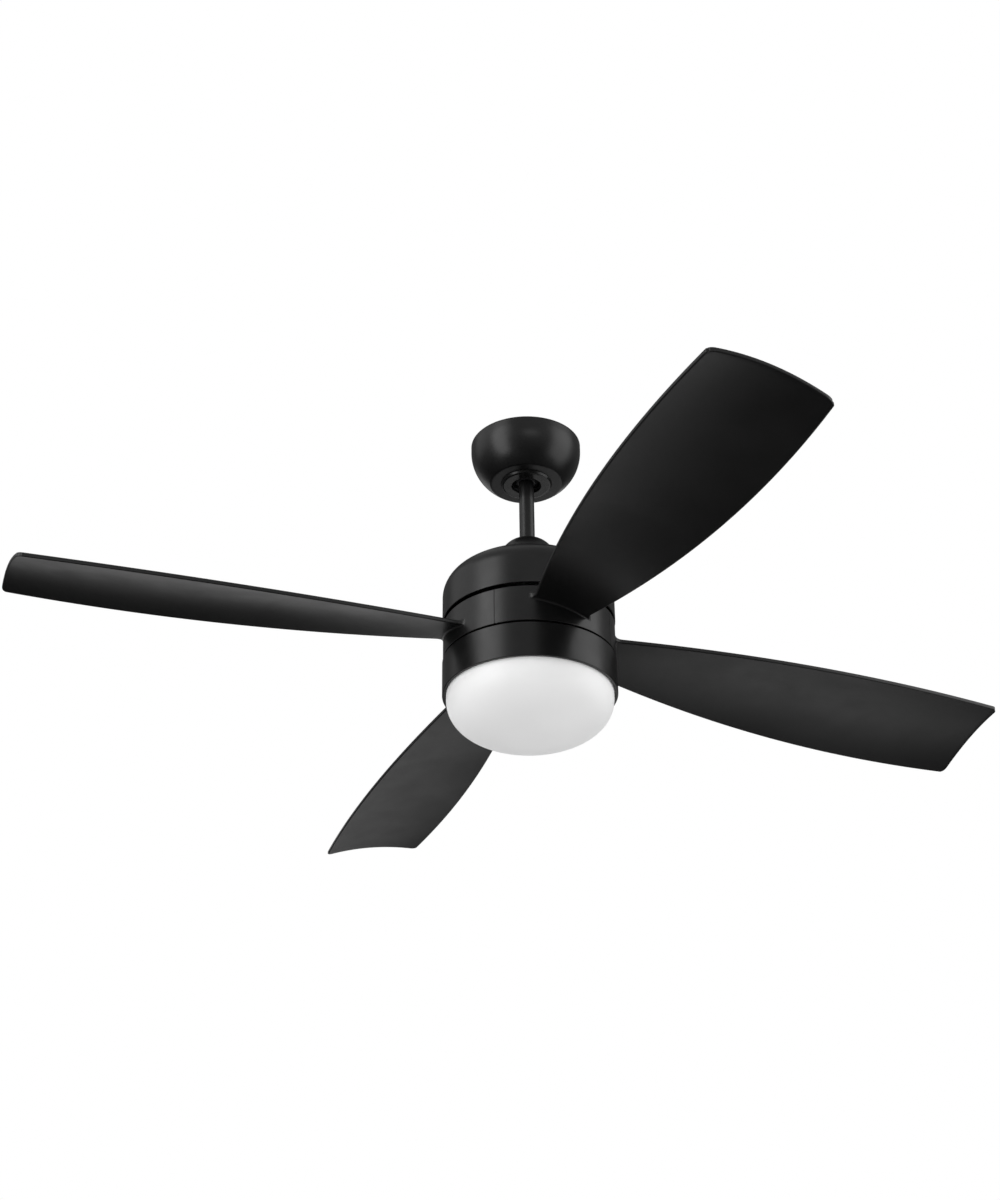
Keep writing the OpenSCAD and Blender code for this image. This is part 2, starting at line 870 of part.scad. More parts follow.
// Drum with a closed top, a lip at its mouth and three ledges for the glass
module fitter() {
    skin = 2;
    color([0.07, 0.07, 0.075])
        difference() {
            union() {
                rotate_extrude()
                    polygon([
                        [12, fitter_top], [drum_r, fitter_top], [drum_r, fitter_bottom],
                        [lip_in_r, fitter_bottom], [lip_in_r, fitter_bottom + skin],
                        [drum_r - wall, fitter_bottom + skin], [drum_r - wall, fitter_top - skin],
                        [12, fitter_top - skin]]);
                for (i = [0:2])
                    rotate(120 * i) {
                        rotate([0, 0, -18])
                            rotate_extrude(angle = 36)
                                translate([tab_in_r, tab_z])
                                    square([drum_r - wall / 2 - tab_in_r, tab_t]);
                        rotate([0, 0, -18])
                            rotate_extrude(angle = 5)
                                translate([tab_in_r, tab_z])
                                    square([drum_r - wall / 2 - tab_in_r, tab_t + 4]);
                    }
            }
            around(3, pan_screw_r, 30)
                translate([0, 0, fitter_top - skin - 1])
                    cylinder(r = 2 + 2 * hole_gap, h = skin + 2, $fn = 24);
            around(4, spacer_r, 45)
                translate([0, 0, fitter_top - skin - 1])
                    cylinder(r = 1.5 + hole_gap, h = skin + 2, $fn = 24);
        }
}

module fitter_screws() {
    color("gray")
        around(3, pan_screw_r, 30)
            screw_up(fitter_top - 2, 2, 6, 3.8, 2.4);
}

module led_driver() {
    color("white")
        difference() {
            translate([-driver_size[0] / 2, -driver_size[1] / 2, fitter_top])
                cube(driver_size);
            around(4, spacer_r, 45)
                translate([0, 0, fitter_top - 1])
                    cylinder(r = 6, h = driver_size[2] + 2, $fn = 32);
        }
}

module driver_plug() {
    color("ivory")
        translate([-8, -4.5, fitter_top + driver_size[2]])
            cube([16, 9, wire_bottom - fitter_top - driver_size[2]]);
}

module led_plate() {
    color("lightgray")
        difference() {
            ring(led_plate_r, 8, led_plate_z - led_plate_t, led_plate_z);
            around(4, spacer_r, 45)
                translate([0, 0, led_plate_z - led_plate_t - 1])
                    cylinder(r = 1.5 + hole_gap, h = led_plate_t + 2, $fn = 24);
        }
}

module led_spacers() {
    color("silver")
        around(4, spacer_r, 45)
            ring(4, 1.5 + hole_gap, led_plate_z, fitter_top - 2);
}

module led_screws() {
    color("gray")
        around(4, spacer_r, 45)
            screw_up(led_plate_z - led_plate_t, 1.5, 9, 3, 1.8);
}

module led_board() {
    color("white")
        difference() {
            ring(82, 14, led_plate_z - led_plate_t - board_t, led_plate_z - led_plate_t);
            around(4, spacer_r, 45)
                translate([0, 0, led_plate_z - 20])
                    cylinder(r = 4, h = 20, $fn = 32);
        }
}

module led_chips() {
    size = [3.5, 3.5, 0.8];
    low = led_plate_z - led_plate_t - board_t - size[2];
    color("khaki")
        for (row = [[10, 30], [16, 54], [24, 72]])
            around(row[0], row[1], 9)
                translate([-size[0] / 2, -size[1] / 2, low])
                    cube(size);
}

// ---------- glass ----------

bowl_power = 2.35;
bowl_side = 3.5;      // straight side below the fitter's mouth
module glass_bowl() {
    r = glass_d / 2;
    side_z = fitter_bottom - bowl_side;
    steps = 28;
    inside = bowl_arc(r - glass_t, side_z, glass_bottom + glass_t, bowl_power, steps);
    color([0.93, 0.93, 0.92])
        rotate_extrude()
            polygon(concat(
                [[r - glass_t, neck_top], [r, neck_top]],
                bowl_arc(r, side_z, glass_bottom, bowl_power, steps),
                [for (i = [steps:-1:0]) inside[i]]));
}

// Twist-lock ring bonded inside the bowl's neck, with three lugs
module glass_ring() {
    r = glass_d / 2 - glass_t;
    lug_low = tab_z + tab_t + 0.4;
    color("whitesmoke")
        union() {
            ring(r, r - 4, fitter_bottom, lug_low + 2.4);
            for (i = [0:2])
                rotate(120 * i - 12)
                    rotate_extrude(angle = 24)
                        translate([r - 4, lug_low])
                            square([lug_r - r + 4, 2.4]);
        }
}

hanger_bracket();
canopy();
canopy_screws();
canopy_ring();
receiver();
wire_connectors();
supply_wires();
receiver_wires();
key_pin();
hanger_ball();
ball_cross_pin();
ball_set_screw();
downrod();
lead_wires();
lead_plug();
motor_coupling();
clevis_pin();
hitch_pin();
coupling_screws();
motor_shaft();
stator_core();
stator_windings();
bearing_inner_rings();
upper_housing();
housing_screws();
light_pan();
fitter();
fitter_screws();
led_driver();
driver_plug();
led_plate();
led_spacers();
led_screws();
led_board();
led_chips();
yoke_cover();
rotor_upper_shell();
rotor_lower_shell();
rotor_magnets();
bearing_outer_rings();
bearing_balls();
rotor_screws();
flywheel();
flywheel_screws();
blade_1();
blade_2();
blade_3();
blade_4();
blade_screws();
glass_bowl();
glass_ring();
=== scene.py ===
# A ceiling fan with a light, hung on a short downrod. Sizes are in millimetres until they go into a mesh.
import math
import bmesh
import bpy
import numpy as np
from mathutils import Matrix, Vector


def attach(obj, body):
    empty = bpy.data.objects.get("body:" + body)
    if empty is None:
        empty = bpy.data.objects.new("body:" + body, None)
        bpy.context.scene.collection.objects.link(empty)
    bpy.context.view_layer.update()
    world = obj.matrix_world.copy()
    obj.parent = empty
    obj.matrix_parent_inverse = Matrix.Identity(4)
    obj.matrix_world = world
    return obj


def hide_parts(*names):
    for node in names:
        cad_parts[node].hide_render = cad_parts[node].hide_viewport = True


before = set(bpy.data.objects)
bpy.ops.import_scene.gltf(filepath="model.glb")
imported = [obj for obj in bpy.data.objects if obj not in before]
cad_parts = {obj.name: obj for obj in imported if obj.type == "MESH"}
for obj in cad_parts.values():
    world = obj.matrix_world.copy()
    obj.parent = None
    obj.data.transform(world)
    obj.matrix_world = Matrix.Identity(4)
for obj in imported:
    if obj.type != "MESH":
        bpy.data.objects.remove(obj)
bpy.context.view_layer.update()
mm = 0.001
print("frame loaded:", len(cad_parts), "nodes")


# Finishes are made of noise on each piece's own coordinates: colour, gloss and a fine skin
def startFinish(name):
    finish = bpy.data.materials.new(name)
    finish.use_nodes = True
    return finish, finish.node_tree, finish.node_tree.nodes["Principled BSDF"]


def objectPlace(tree, stretch=(1, 1, 1)):
    coords = tree.nodes.new("ShaderNodeTexCoord")
    place = tree.nodes.new("ShaderNodeMapping")
    place.inputs["Scale"].default_value = stretch
    tree.links.new(coords.outputs["Object"], place.inputs["Vector"])
    return place.outputs["Vector"]


def speckle(tree, place, scale, detail=3.0, roughness=0.55):
    noise = tree.nodes.new("ShaderNodeTexNoise")
    noise.inputs["Scale"].default_value = scale
    noise.inputs["Detail"].default_value = detail
    noise.inputs["Roughness"].default_value = roughness
    tree.links.new(place, noise.inputs["Vector"])
    return noise.outputs["Fac"]


def between(tree, factor, low, high, start=0.35, end=0.65):
    spread = tree.nodes.new("ShaderNodeMapRange")
    spread.inputs["From Min"].default_value = start
    spread.inputs["From Max"].default_value = end
    spread.inputs["To Min"].default_value = low
    spread.inputs["To Max"].default_value = high
    tree.links.new(factor, spread.inputs["Value"])
    return spread.outputs["Result"]


def twoTones(tree, factor, dark, light, start=0.35, end=0.65):
    tones = tree.nodes.new("ShaderNodeValToRGB")
    tones.color_ramp.elements[0].position = start
    tones.color_ramp.elements[1].position = end
    tones.color_ramp.elements[0].color = (*dark, 1)
    tones.color_ramp.elements[1].color = (*light, 1)
    tree.links.new(factor, tones.inputs["Fac"])
    return tones.outputs["Color"]


def relief(tree, shader, height, strength, depth):
    bump = tree.nodes.new("ShaderNodeBump")
    bump.inputs["Strength"].default_value = strength
    bump.inputs["Distance"].default_value = depth
    tree.links.new(height, bump.inputs["Height"])
    tree.links.new(bump.outputs["Normal"], shader.inputs["Normal"])


# Coloured solid finish: cloudy colour, patchy gloss and a fine skin, each at its own size
def solidFinish(name, dark, light, gloss, skin, cloud):
    finish, tree, shader = startFinish(name)
    place = objectPlace(tree)
    clouds = speckle(tree, place, cloud, 4)
    fine = speckle(tree, place, skin["scale"], skin.get("detail", 2))
    tree.links.new(twoTones(tree, clouds, dark, light), shader.inputs["Base Color"])
    patches = speckle(tree, place, cloud * 4, 5, 0.6)
    tree.links.new(between(tree, patches, *gloss), shader.inputs["Roughness"])
    relief(tree, shader, fine, skin["strength"], skin["depth"])
    return finish


# Bare or plated metal: brushed or cast grain, stretched along one axis
def metalFinish(name, dark, light, gloss, grain, stretch=(1, 1, 1), cloud=25, metallic=1.0):
    finish, tree, shader = startFinish(name)
    place = objectPlace(tree, stretch)
    even = objectPlace(tree)
    clouds = speckle(tree, even, cloud, 5)
    lines = speckle(tree, place, grain["scale"], 4)
    tree.links.new(twoTones(tree, clouds, dark, light), shader.inputs["Base Color"])
    tree.links.new(between(tree, lines, *gloss), shader.inputs["Roughness"])
    relief(tree, shader, lines, grain["strength"], grain["depth"])
    shader.inputs["Metallic"].default_value = metallic
    return finish


paintBlack = solidFinish("satin black paint", (0.0024, 0.0024, 0.0025), (0.0042, 0.0042, 0.0043), (0.3, 0.38),
                         {"scale": 620, "strength": 0.12, "depth": 0.00012}, 7)
bladeBlack = solidFinish("matt black blade moulding", (0.0032, 0.0032, 0.0033), (0.0048, 0.0048, 0.0049),
                         (0.35, 0.4), {"scale": 900, "detail": 3, "strength": 0.22, "depth": 0.00015}, 5)
collarBlack = solidFinish("satin black collar moulding", (0.0026, 0.0026, 0.0027), (0.0044, 0.0044, 0.0045),
                          (0.29, 0.36), {"scale": 700, "strength": 0.12, "depth": 0.0001}, 8)
trimBlack = solidFinish("black trim plastic", (0.0026, 0.0026, 0.0026), (0.0048, 0.0048, 0.0049), (0.2, 0.28),
                        {"scale": 500, "strength": 0.1, "depth": 0.0001}, 20)
ballBlack = solidFinish("black nylon", (0.011, 0.011, 0.012), (0.02, 0.02, 0.021), (0.35, 0.5),
                        {"scale": 1100, "strength": 0.25, "depth": 0.0001}, 40)
receiverBlack = solidFinish("receiver case plastic", (0.014, 0.014, 0.015), (0.022, 0.022, 0.023),
                            (0.48, 0.6), {"scale": 1500, "strength": 0.4, "depth": 0.0001}, 30)
ringWhite = solidFinish("white lock ring plastic", (0.7, 0.7, 0.68), (0.78, 0.78, 0.76), (0.4, 0.5),
                        {"scale": 900, "strength": 0.2, "depth": 0.0001}, 30)
plugWhite = solidFinish("white plug nylon", (0.62, 0.61, 0.57), (0.74, 0.73, 0.69), (0.38, 0.5),
                        {"scale": 1400, "strength": 0.2, "depth": 0.0001}, 60)
connectorOrange = solidFinish("orange connector shell", (0.7, 0.16, 0.012), (0.82, 0.22, 0.02), (0.35, 0.45),
                              {"scale": 1300, "strength": 0.3, "depth": 0.0001}, 60)
boardWhite = solidFinish("white solder mask", (0.72, 0.72, 0.7), (0.8, 0.8, 0.78), (0.22, 0.32),
                         {"scale": 1500, "strength": 0.1, "depth": 0.00005}, 50)
chipYellow = solidFinish("LED phosphor", (0.72, 0.5, 0.07), (0.85, 0.62, 0.12), (0.3, 0.4),
                         {"scale": 4000, "strength": 0.3, "depth": 0.00004}, 400)
magnetGrey = solidFinish("ground ferrite", (0.02, 0.02, 0.022), (0.045, 0.045, 0.047), (0.5, 0.65),
                         {"scale": 900, "strength": 0.4, "depth": 0.0001}, 80)
wireColours = {
    "black": ((0.008, 0.008, 0.008), (0.016, 0.016, 0.016)),
    "white": ((0.62, 0.62, 0.6), (0.72, 0.72, 0.7)),
    "green": ((0.01, 0.16, 0.03), (0.02, 0.24, 0.05)),
    "blue": ((0.01, 0.05, 0.3), (0.02, 0.08, 0.4)),
}
wireSkins = {colour: solidFinish(f"{colour} wire skin", *tones, (0.35, 0.45),
                                 {"scale": 1500, "strength": 0.2, "depth": 0.00005}, 90)
             for colour, tones in wireColours.items()}
zincPlate = metalFinish("zinc plated steel", (0.42, 0.43, 0.45), (0.6, 0.61, 0.6), (0.28, 0.46),
                        {"scale": 240, "strength": 0.18, "depth": 0.0001}, (1, 0.12, 1), 45)
plainSteel = metalFinish("turned steel", (0.42, 0.42, 0.43), (0.58, 0.58, 0.58), (0.16, 0.3),
                         {"scale": 500, "strength": 0.15, "depth": 0.00005}, (0.15, 0.15, 1), 60)
blackOxide = metalFinish("black oxide screw", (0.035, 0.035, 0.038), (0.075, 0.075, 0.08), (0.3, 0.48),
                         {"scale": 900, "strength": 0.3, "depth": 0.00006}, cloud=150)
castIron = metalFinish("black cast iron", (0.02, 0.02, 0.021), (0.04, 0.04, 0.042), (0.45, 0.68),
                       {"scale": 420, "strength": 0.7, "depth": 0.0003}, cloud=60, metallic=0.4)
castAluminium = metalFinish("cast aluminium", (0.42, 0.43, 0.44), (0.56, 0.57, 0.58), (0.38, 0.56),
                            {"scale": 520, "strength": 0.45, "depth": 0.00015}, cloud=40)
coreSteel = metalFinish("stacked core steel", (0.14, 0.145, 0.155), (0.26, 0.265, 0.275), (0.35, 0.6),
                        {"scale": 60, "strength": 0.5, "depth": 0.0003}, (0.05, 0.05, 30), 50)
copperEnamel = metalFinish("enamelled copper", (0.45, 0.13, 0.045), (0.62, 0.22, 0.08), (0.18, 0.32),
                           {"scale": 600, "strength": 0.15, "depth": 0.00005}, cloud=200)
goldSpring = metalFinish("zinc-dichromate spring wire", (0.5, 0.36, 0.14), (0.62, 0.48, 0.22), (0.25, 0.4),
                         {"scale": 700, "strength": 0.2, "depth": 0.00005}, cloud=200)


# Opal glass: milky body under a faintly wavy, etched skin
def opalFinish():
    finish, tree, shader = startFinish("satin opal glass")
    place = objectPlace(tree)
    milk = speckle(tree, place, 6, 2)
    etch = speckle(tree, place, 1300, 2)
    tree.links.new(twoTones(tree, milk, (0.8, 0.8, 0.8), (0.845, 0.845, 0.845)), shader.inputs["Base Color"])
    tree.links.new(between(tree, etch, 0.36, 0.44), shader.inputs["Roughness"])
    relief(tree, shader, etch, 0.05, 0.00004)
    shader.inputs["Subsurface Weight"].default_value = 0.2
    shader.inputs["Subsurface Radius"].default_value = (0.02, 0.02, 0.02)
    shader.inputs["Subsurface Scale"].default_value = 0.5
    return finish


opalGlass = opalFinish()
print("finishes ready")


# Makes a mesh object from a bmesh, smooth but for its real edges
def pieceFrom(name, bm, finishes, creaseAngle=32):
    bmesh.ops.remove_doubles(bm, verts=bm.verts, dist=1e-7)
    bmesh.ops.recalc_face_normals(bm, faces=bm.faces)
    mesh = bpy.data.meshes.new(name)
    bm.to_mesh(mesh)
    bm.free()
    mesh.shade_smooth()
    mesh.set_sharp_from_angle(angle=math.radians(creaseAngle))
    piece = bpy.data.objects.new(name, mesh)
    bpy.context.scene.collection.objects.link(piece)
    for finish in finishes:
        mesh.materials.append(finish)
    return piece


# Places a piece on its body and hides the nodes that it stands for
def settle(piece, body, slot, *nodes):
    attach(piece, body)
    if nodes:
        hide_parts(*nodes)
    return piece


# Rounds the corners of a closed outline of (r, z, radius), and holds long flats with a point near each end
def roundedOutline(corners, steps=5, hold=0.35):
    count = len(corners)
    points = []
    for i in range(count):
        here = Vector(corners[i][:2])
        back = Vector(corners[i - 1][:2]) - here
        on = Vector(corners[(i + 1) % count][:2]) - here
        radius = corners[i][2] if len(corners[i]) > 2 else 0
        if radius <= 0:
            points.append(here)
            continue
        angle = back.angle(on)
        cut = min(radius / math.tan(angle / 2), 0.45 * back.length, 0.45 * on.length)
        radius = cut * math.tan(angle / 2)
        centre = here + (back.normalized() + on.normalized()).normalized() * (radius / math.sin(angle / 2))
        first = here + back.normalized() * cut - centre
        last = here + on.normalized() * cut - centre
        sweep = first.angle_signed(last)
        for k in range(steps + 1):
            points.append(centre + Matrix.Rotation(-sweep * k / steps, 2) @ first)
    held = []
    for i, point in enumerate(points):
        following = points[(i + 1) % len(points)]
        gap = following - point
        held.append(point)
        if gap.length > 4 * hold:
            held.append(point + gap.normalized() * hold)
            held.append(following - gap.normalized() * hold)
    return [(p.x, p.y) for p in held]


# Turns a closed (r, z) outline about Z: all the way round, or through a sector with flat ends
def turn(bm, outline, steps=240, start=0.0, sweep=360.0):
    whole = sweep >= 360
    rows = []
    for i in range(steps if whole else steps + 1):
        a = math.radians(start + sweep * i / steps)
        rows.append([bm.verts.new((r * mm * math.cos(a), r * mm * math.sin(a), z * mm)) for r, z in outline])
    count = len(outline)
    for i in range(steps):
        here, following = rows[i], rows[(i + 1) % len(rows)]
        for k in range(count):
            j = (k + 1) % count
            if outline[k][0] < 1e-6 and outline[j][0] < 1e-6:
                continue
            if outline[k][0] < 1e-6:
                bm.faces.new((here[k], following[j], here[j]))
            elif outline[j][0] < 1e-6:
                bm.faces.new((here[k], following[k], here[j]))
            else:
                bm.faces.new((here[k], following[k], following[j], here[j]))
    if not whole:
        bm.faces.new(rows[0])
        bm.faces.new(list(reversed(rows[-1])))


def arcPoints(cx, cz, radius, start, end, steps):
    angles = [math.radians(start + (end - start) * i / steps) for i in range(steps + 1)]
    return [(cx + radius * math.cos(a), cz + radius * math.sin(a)) for a in angles]


# The canopy is a shallow spun bowl with its rim at the ceiling
canopySize = {"rim": 76.8, "top": -1.2, "side": 9.3, "bend": 64.5, "bottom": -63.0, "wall": 1.5, "hole": 22.0}


def makeCanopy():
    s = canopySize
    centreR, centreZ = s["rim"] - s["bend"], s["top"] - s["side"]
    outerEnd = -math.degrees(math.asin((centreZ - s["bottom"]) / s["bend"]))
    innerEnd = -math.degrees(math.asin((centreZ - s["bottom"] - s["wall"]) / (s["bend"] - s["wall"])))
    outside = arcPoints(centreR, centreZ, s["bend"], outerEnd, 0, 44)
    inside = arcPoints(centreR, centreZ, s["bend"] - s["wall"], 0, innerEnd, 40)
    soften = s["bottom"] + 0.25     # the flat's edge is a small radius, not a knife line
    outside = [(s["hole"], s["bottom"]), (outside[0][0] - 2.4, s["bottom"]),
               (outside[0][0] - 1.0, s["bottom"] + 0.06), (outside[0][0] + 0.15, soften)] + outside[1:]
    rim = arcPoints(s["rim"] - s["wall"] / 2, s["top"] - s["wall"] / 2, s["wall"] / 2, 0, 180, 8)
    floor = s["bottom"] + s["wall"]
    outline = outside + [(s["rim"], s["top"] - 3)] + rim + [(s["rim"] - s["wall"], s["top"] - 3)] + inside
    outline += [(inside[-1][0] - 2, floor), (s["hole"], floor)]
    bm = bmesh.new()
    turn(bm, outline)
    return settle(pieceFrom("canopy_shell", bm, [paintBlack]), "mount", "housing_paint", "canopy")


ringSize = {"hole": 20.6, "base": 35.9, "face": 32.9, "depth": 3.4, "skin": 1.2, "sleeve": 1.4}


def makeCanopyRing():
    s = ringSize
    seat = canopySize["bottom"]
    low = seat - s["depth"]
    outline = [(s["hole"], low, 0.5), (s["face"] - 2.2, low, 0.3), (s["face"] - 1.6, low, 0.2),
               (s["face"] + 1.1, low + 0.35, 0.9), (s["base"] - 0.1, seat - 0.45, 0.25),
               (s["base"] - 0.1, seat, 0), (s["base"] - s["skin"], seat, 0),
               (s["face"] + 0.2, low + s["skin"], 0.4), (s["hole"] + s["skin"], low + s["skin"], 0.4),
               (s["hole"] + s["skin"], seat + s["sleeve"], 0.4), (s["hole"], seat + s["sleeve"], 0.4)]
    bm = bmesh.new()
    turn(bm, roundedOutline(outline, 5, 0.2), 200)
    return settle(pieceFrom("canopy_trim_ring", bm, [trimBlack]), "mount", "trim_plastic", "canopy_ring")


rodSize = {"radius": 10.5, "bore": 8.3, "top": -18.0, "bottom": -198.0}


def makeDownrod():
    s = rodSize
    outline = [(s["radius"], s["bottom"], 0.5), (s["radius"], s["top"], 0.5), (s["bore"], s["top"], 0.4),
               (s["bore"], s["bottom"], 0.4)]
    bm = bmesh.new()
    turn(bm, roundedOutline(outline, 4, 0.8), 96)
    return settle(pieceFrom("downrod_tube", bm, [paintBlack]), "hanger", "housing_paint", "downrod")


coverSize = {"base": 45.0, "top": 11.2, "rise": 50.6, "foot": 6.9, "skin": 1.4, "low": -216.7}


def makeYokeCover():
    s = coverSize

    def bell(shrink):
        angles = [math.radians(90 * i / 40) for i in range(41)]
        return [(s["top"] + (s["base"] - s["top"] - shrink) * math.cos(a),
                 s["low"] + s["foot"] + (s["rise"] - shrink) * math.sin(a)) for a in angles]

    outside, inside = bell(0), list(reversed(bell(s["skin"])))
    foot = arcPoints(s["base"] - s["skin"] / 2, s["low"] + s["skin"] / 2, s["skin"] / 2, 180, 360, 8)
    groove = [(s["base"], s["low"] + 2.2), (s["base"] - 0.35, s["low"] + 2.6),
              (s["base"] - 0.35, s["low"] + 3.0), (s["base"], s["low"] + 3.4)]
    outline = foot + groove + outside + inside
    bm = bmesh.new()
    turn(bm, outline, 180)
    return settle(pieceFrom("coupling_cover", bm, [paintBlack]), "cover", "housing_paint", "yoke_cover")


# The drum is the fixed housing over the motor
drumSize = {"radius": 115.9, "top": -217.0, "bottom": -289.0, "shoulder": 32.0, "wall": 1.5, "hole": 17.5}


def makeUpperHousing():
    s = drumSize
    centreR, centreZ = s["radius"] - s["shoulder"], s["top"] - s["shoulder"]
    outside = arcPoints(centreR, centreZ, s["shoulder"], 90, 0, 30)
    inside = arcPoints(centreR, centreZ, s["shoulder"] - s["wall"], 0, 90, 26)
    hem = arcPoints(s["radius"] - s["wall"] / 2, s["bottom"] + s["wall"] / 2, s["wall"] / 2, 0, -180, 8)
    outline = [(s["hole"], s["top"] - s["wall"]), (s["hole"], s["top"] - 0.3), (s["hole"] + 0.3, s["top"])]
    side = [(s["radius"], centreZ - 2), (s["radius"], s["bottom"] + 3)]
    outline += [(outside[0][0] - 2, s["top"])] + outside + side
    outline += hem + [(s["radius"] - s["wall"], s["bottom"] + 3)] + inside
    outline.reverse()
    bm = bmesh.new()
    turn(bm, outline, 256)
    return settle(pieceFrom("housing_shell", bm, [paintBlack]), "hanger", "housing_paint", "upper_housing")


fitterSize = {"radius": 115.9, "top": -348.0, "bottom": -396.5, "wall": 1.5, "roof": 2.0, "hole": 12.0,
              "lip": 111.7, "tabInner": 109.2, "tabLow": -387.0, "tabThick": 2.0, "tabHalf": 18.0,
              "stopTall": 6.0, "stopWide": 5.0}


def makeFitter():
    s = fitterSize
    outline = [(s["hole"], s["top"] - s["roof"], 0.3), (s["radius"] - s["wall"], s["top"] - s["roof"], 1.2),
               (s["radius"] - s["wall"], s["bottom"] + 2, 0.5), (s["lip"], s["bottom"] + 2, 0.5),
               (s["lip"], s["bottom"], 0.6), (s["radius"], s["bottom"], 0.9), (s["radius"], s["top"], 0.9),
               (s["hole"], s["top"], 0.3)]
    bm = bmesh.new()
    turn(bm, roundedOutline(outline, 5, 0.5), 256)
    outerEnd = s["radius"] - s["wall"] / 2
    for k in range(3):      # three ledges for the ring's lugs, each with a stop at one end
        ledge = [(s["tabInner"], s["tabLow"], 0.4), (outerEnd, s["tabLow"]),
                 (outerEnd, s["tabLow"] + s["tabThick"]), (s["tabInner"], s["tabLow"] + s["tabThick"], 0.4)]
        turn(bm, roundedOutline(ledge, 3, 0.6), 24, 120 * k - s["tabHalf"] + s["stopWide"],
             2 * s["tabHalf"] - s["stopWide"])
        stop = [(s["tabInner"], s["tabLow"], 0.4), (outerEnd, s["tabLow"]),
                (outerEnd, s["tabLow"] + s["stopTall"]), (s["tabInner"], s["tabLow"] + s["stopTall"], 0.8)]
        turn(bm, roundedOutline(stop, 3, 0.6), 6, 120 * k - s["tabHalf"], s["stopWide"])
    return settle(pieceFrom("light_fitter", bm, [paintBlack]), "hanger", "housing_paint", "fitter")


makeCanopy()
makeCanopyRing()
makeDownrod()
makeYokeCover()
makeUpperHousing()
makeFitter()
print("shells turned")


# Blades, each moulded in one with a quarter of the collar
bladeSize = {"tipRadius": 686.0, "chord": 162.0, "widestAt": 520.0, "taper": 5.33e-4,
             "slope": math.tan(math.radians(12.1)), "edgeHeight": -313.2, "droop": 0.0369, "thick": 6.0,
             "camber": 9.0, "camberFrom": 100.0, "camberOver": 260.0, "tipBulge": 2.7, "tipCorner": 4.0,
             "edgeRound": 1.7, "rootWide": 8.0, "rootDeep": 2.6, "turn": 21.4, "acrossPoints": 30,
             "alongSteps": 84, "cornerFrom": 0.9, "rootWideReach": 11.0, "rootDeepReach": 3.4,
             "tipNarrows": 80.0}
collarSize = {"radius": 115.0, "top": -294.0, "bottom": -345.0, "flange": 72.0, "flangeThick": 4.0,
              "wall": 3.0, "seam": 0.8}


def chordAt(x):
    return bladeSize["chord"] - bladeSize["taper"] * (x - bladeSize["widestAt"]) ** 2


def undersideAt(x, v, half):
    s = bladeSize
    crown = s["camber"] * np.minimum(1, (x - s["camberFrom"]) / s["camberOver"]) * (1 - v ** 2)
    edge = s["edgeHeight"] - s["droop"] * (x - collarSize["radius"])
    return edge - s["slope"] * (chordAt(x) / 2 + v * half) + crown


# Corner points of a blade's section, as shares of the half chord, offsets across it and heights
def sectionPoints():
    s = bladeSize
    r, t = s["edgeRound"], s["thick"]
    spread = [-math.cos(math.pi * k / (s["acrossPoints"] - 1)) for k in range(s["acrossPoints"])]
    corner = [(math.sin(math.radians(a)), 1 - math.cos(math.radians(a))) for a in (22.5, 45, 67.5, 90)]
    loop = [(v, 0, 0) for v in spread]
    loop += [(1, r * side, r * up) for side, up in corner] + [(1, r, t / 2)]
    loop += [(1, r * side, t - r * up) for side, up in reversed(corner)]
    loop += [(-v, 0, t) for v in spread]
    loop += [(-1, -r * side, t - r * up) for side, up in corner] + [(-1, -r, t / 2)]
    loop += [(-1, -r * side, r * up) for side, up in reversed(corner)]
    return np.array(loop)


# The root swells into the collar, widely at its two ends and tightly on its faces
def rootSwell(gap, size, reach):
    near = np.clip(1 - gap / reach, 0, 1)
    return size * (1 - np.sqrt(1 - np.minimum(near, 0.999) ** 2))


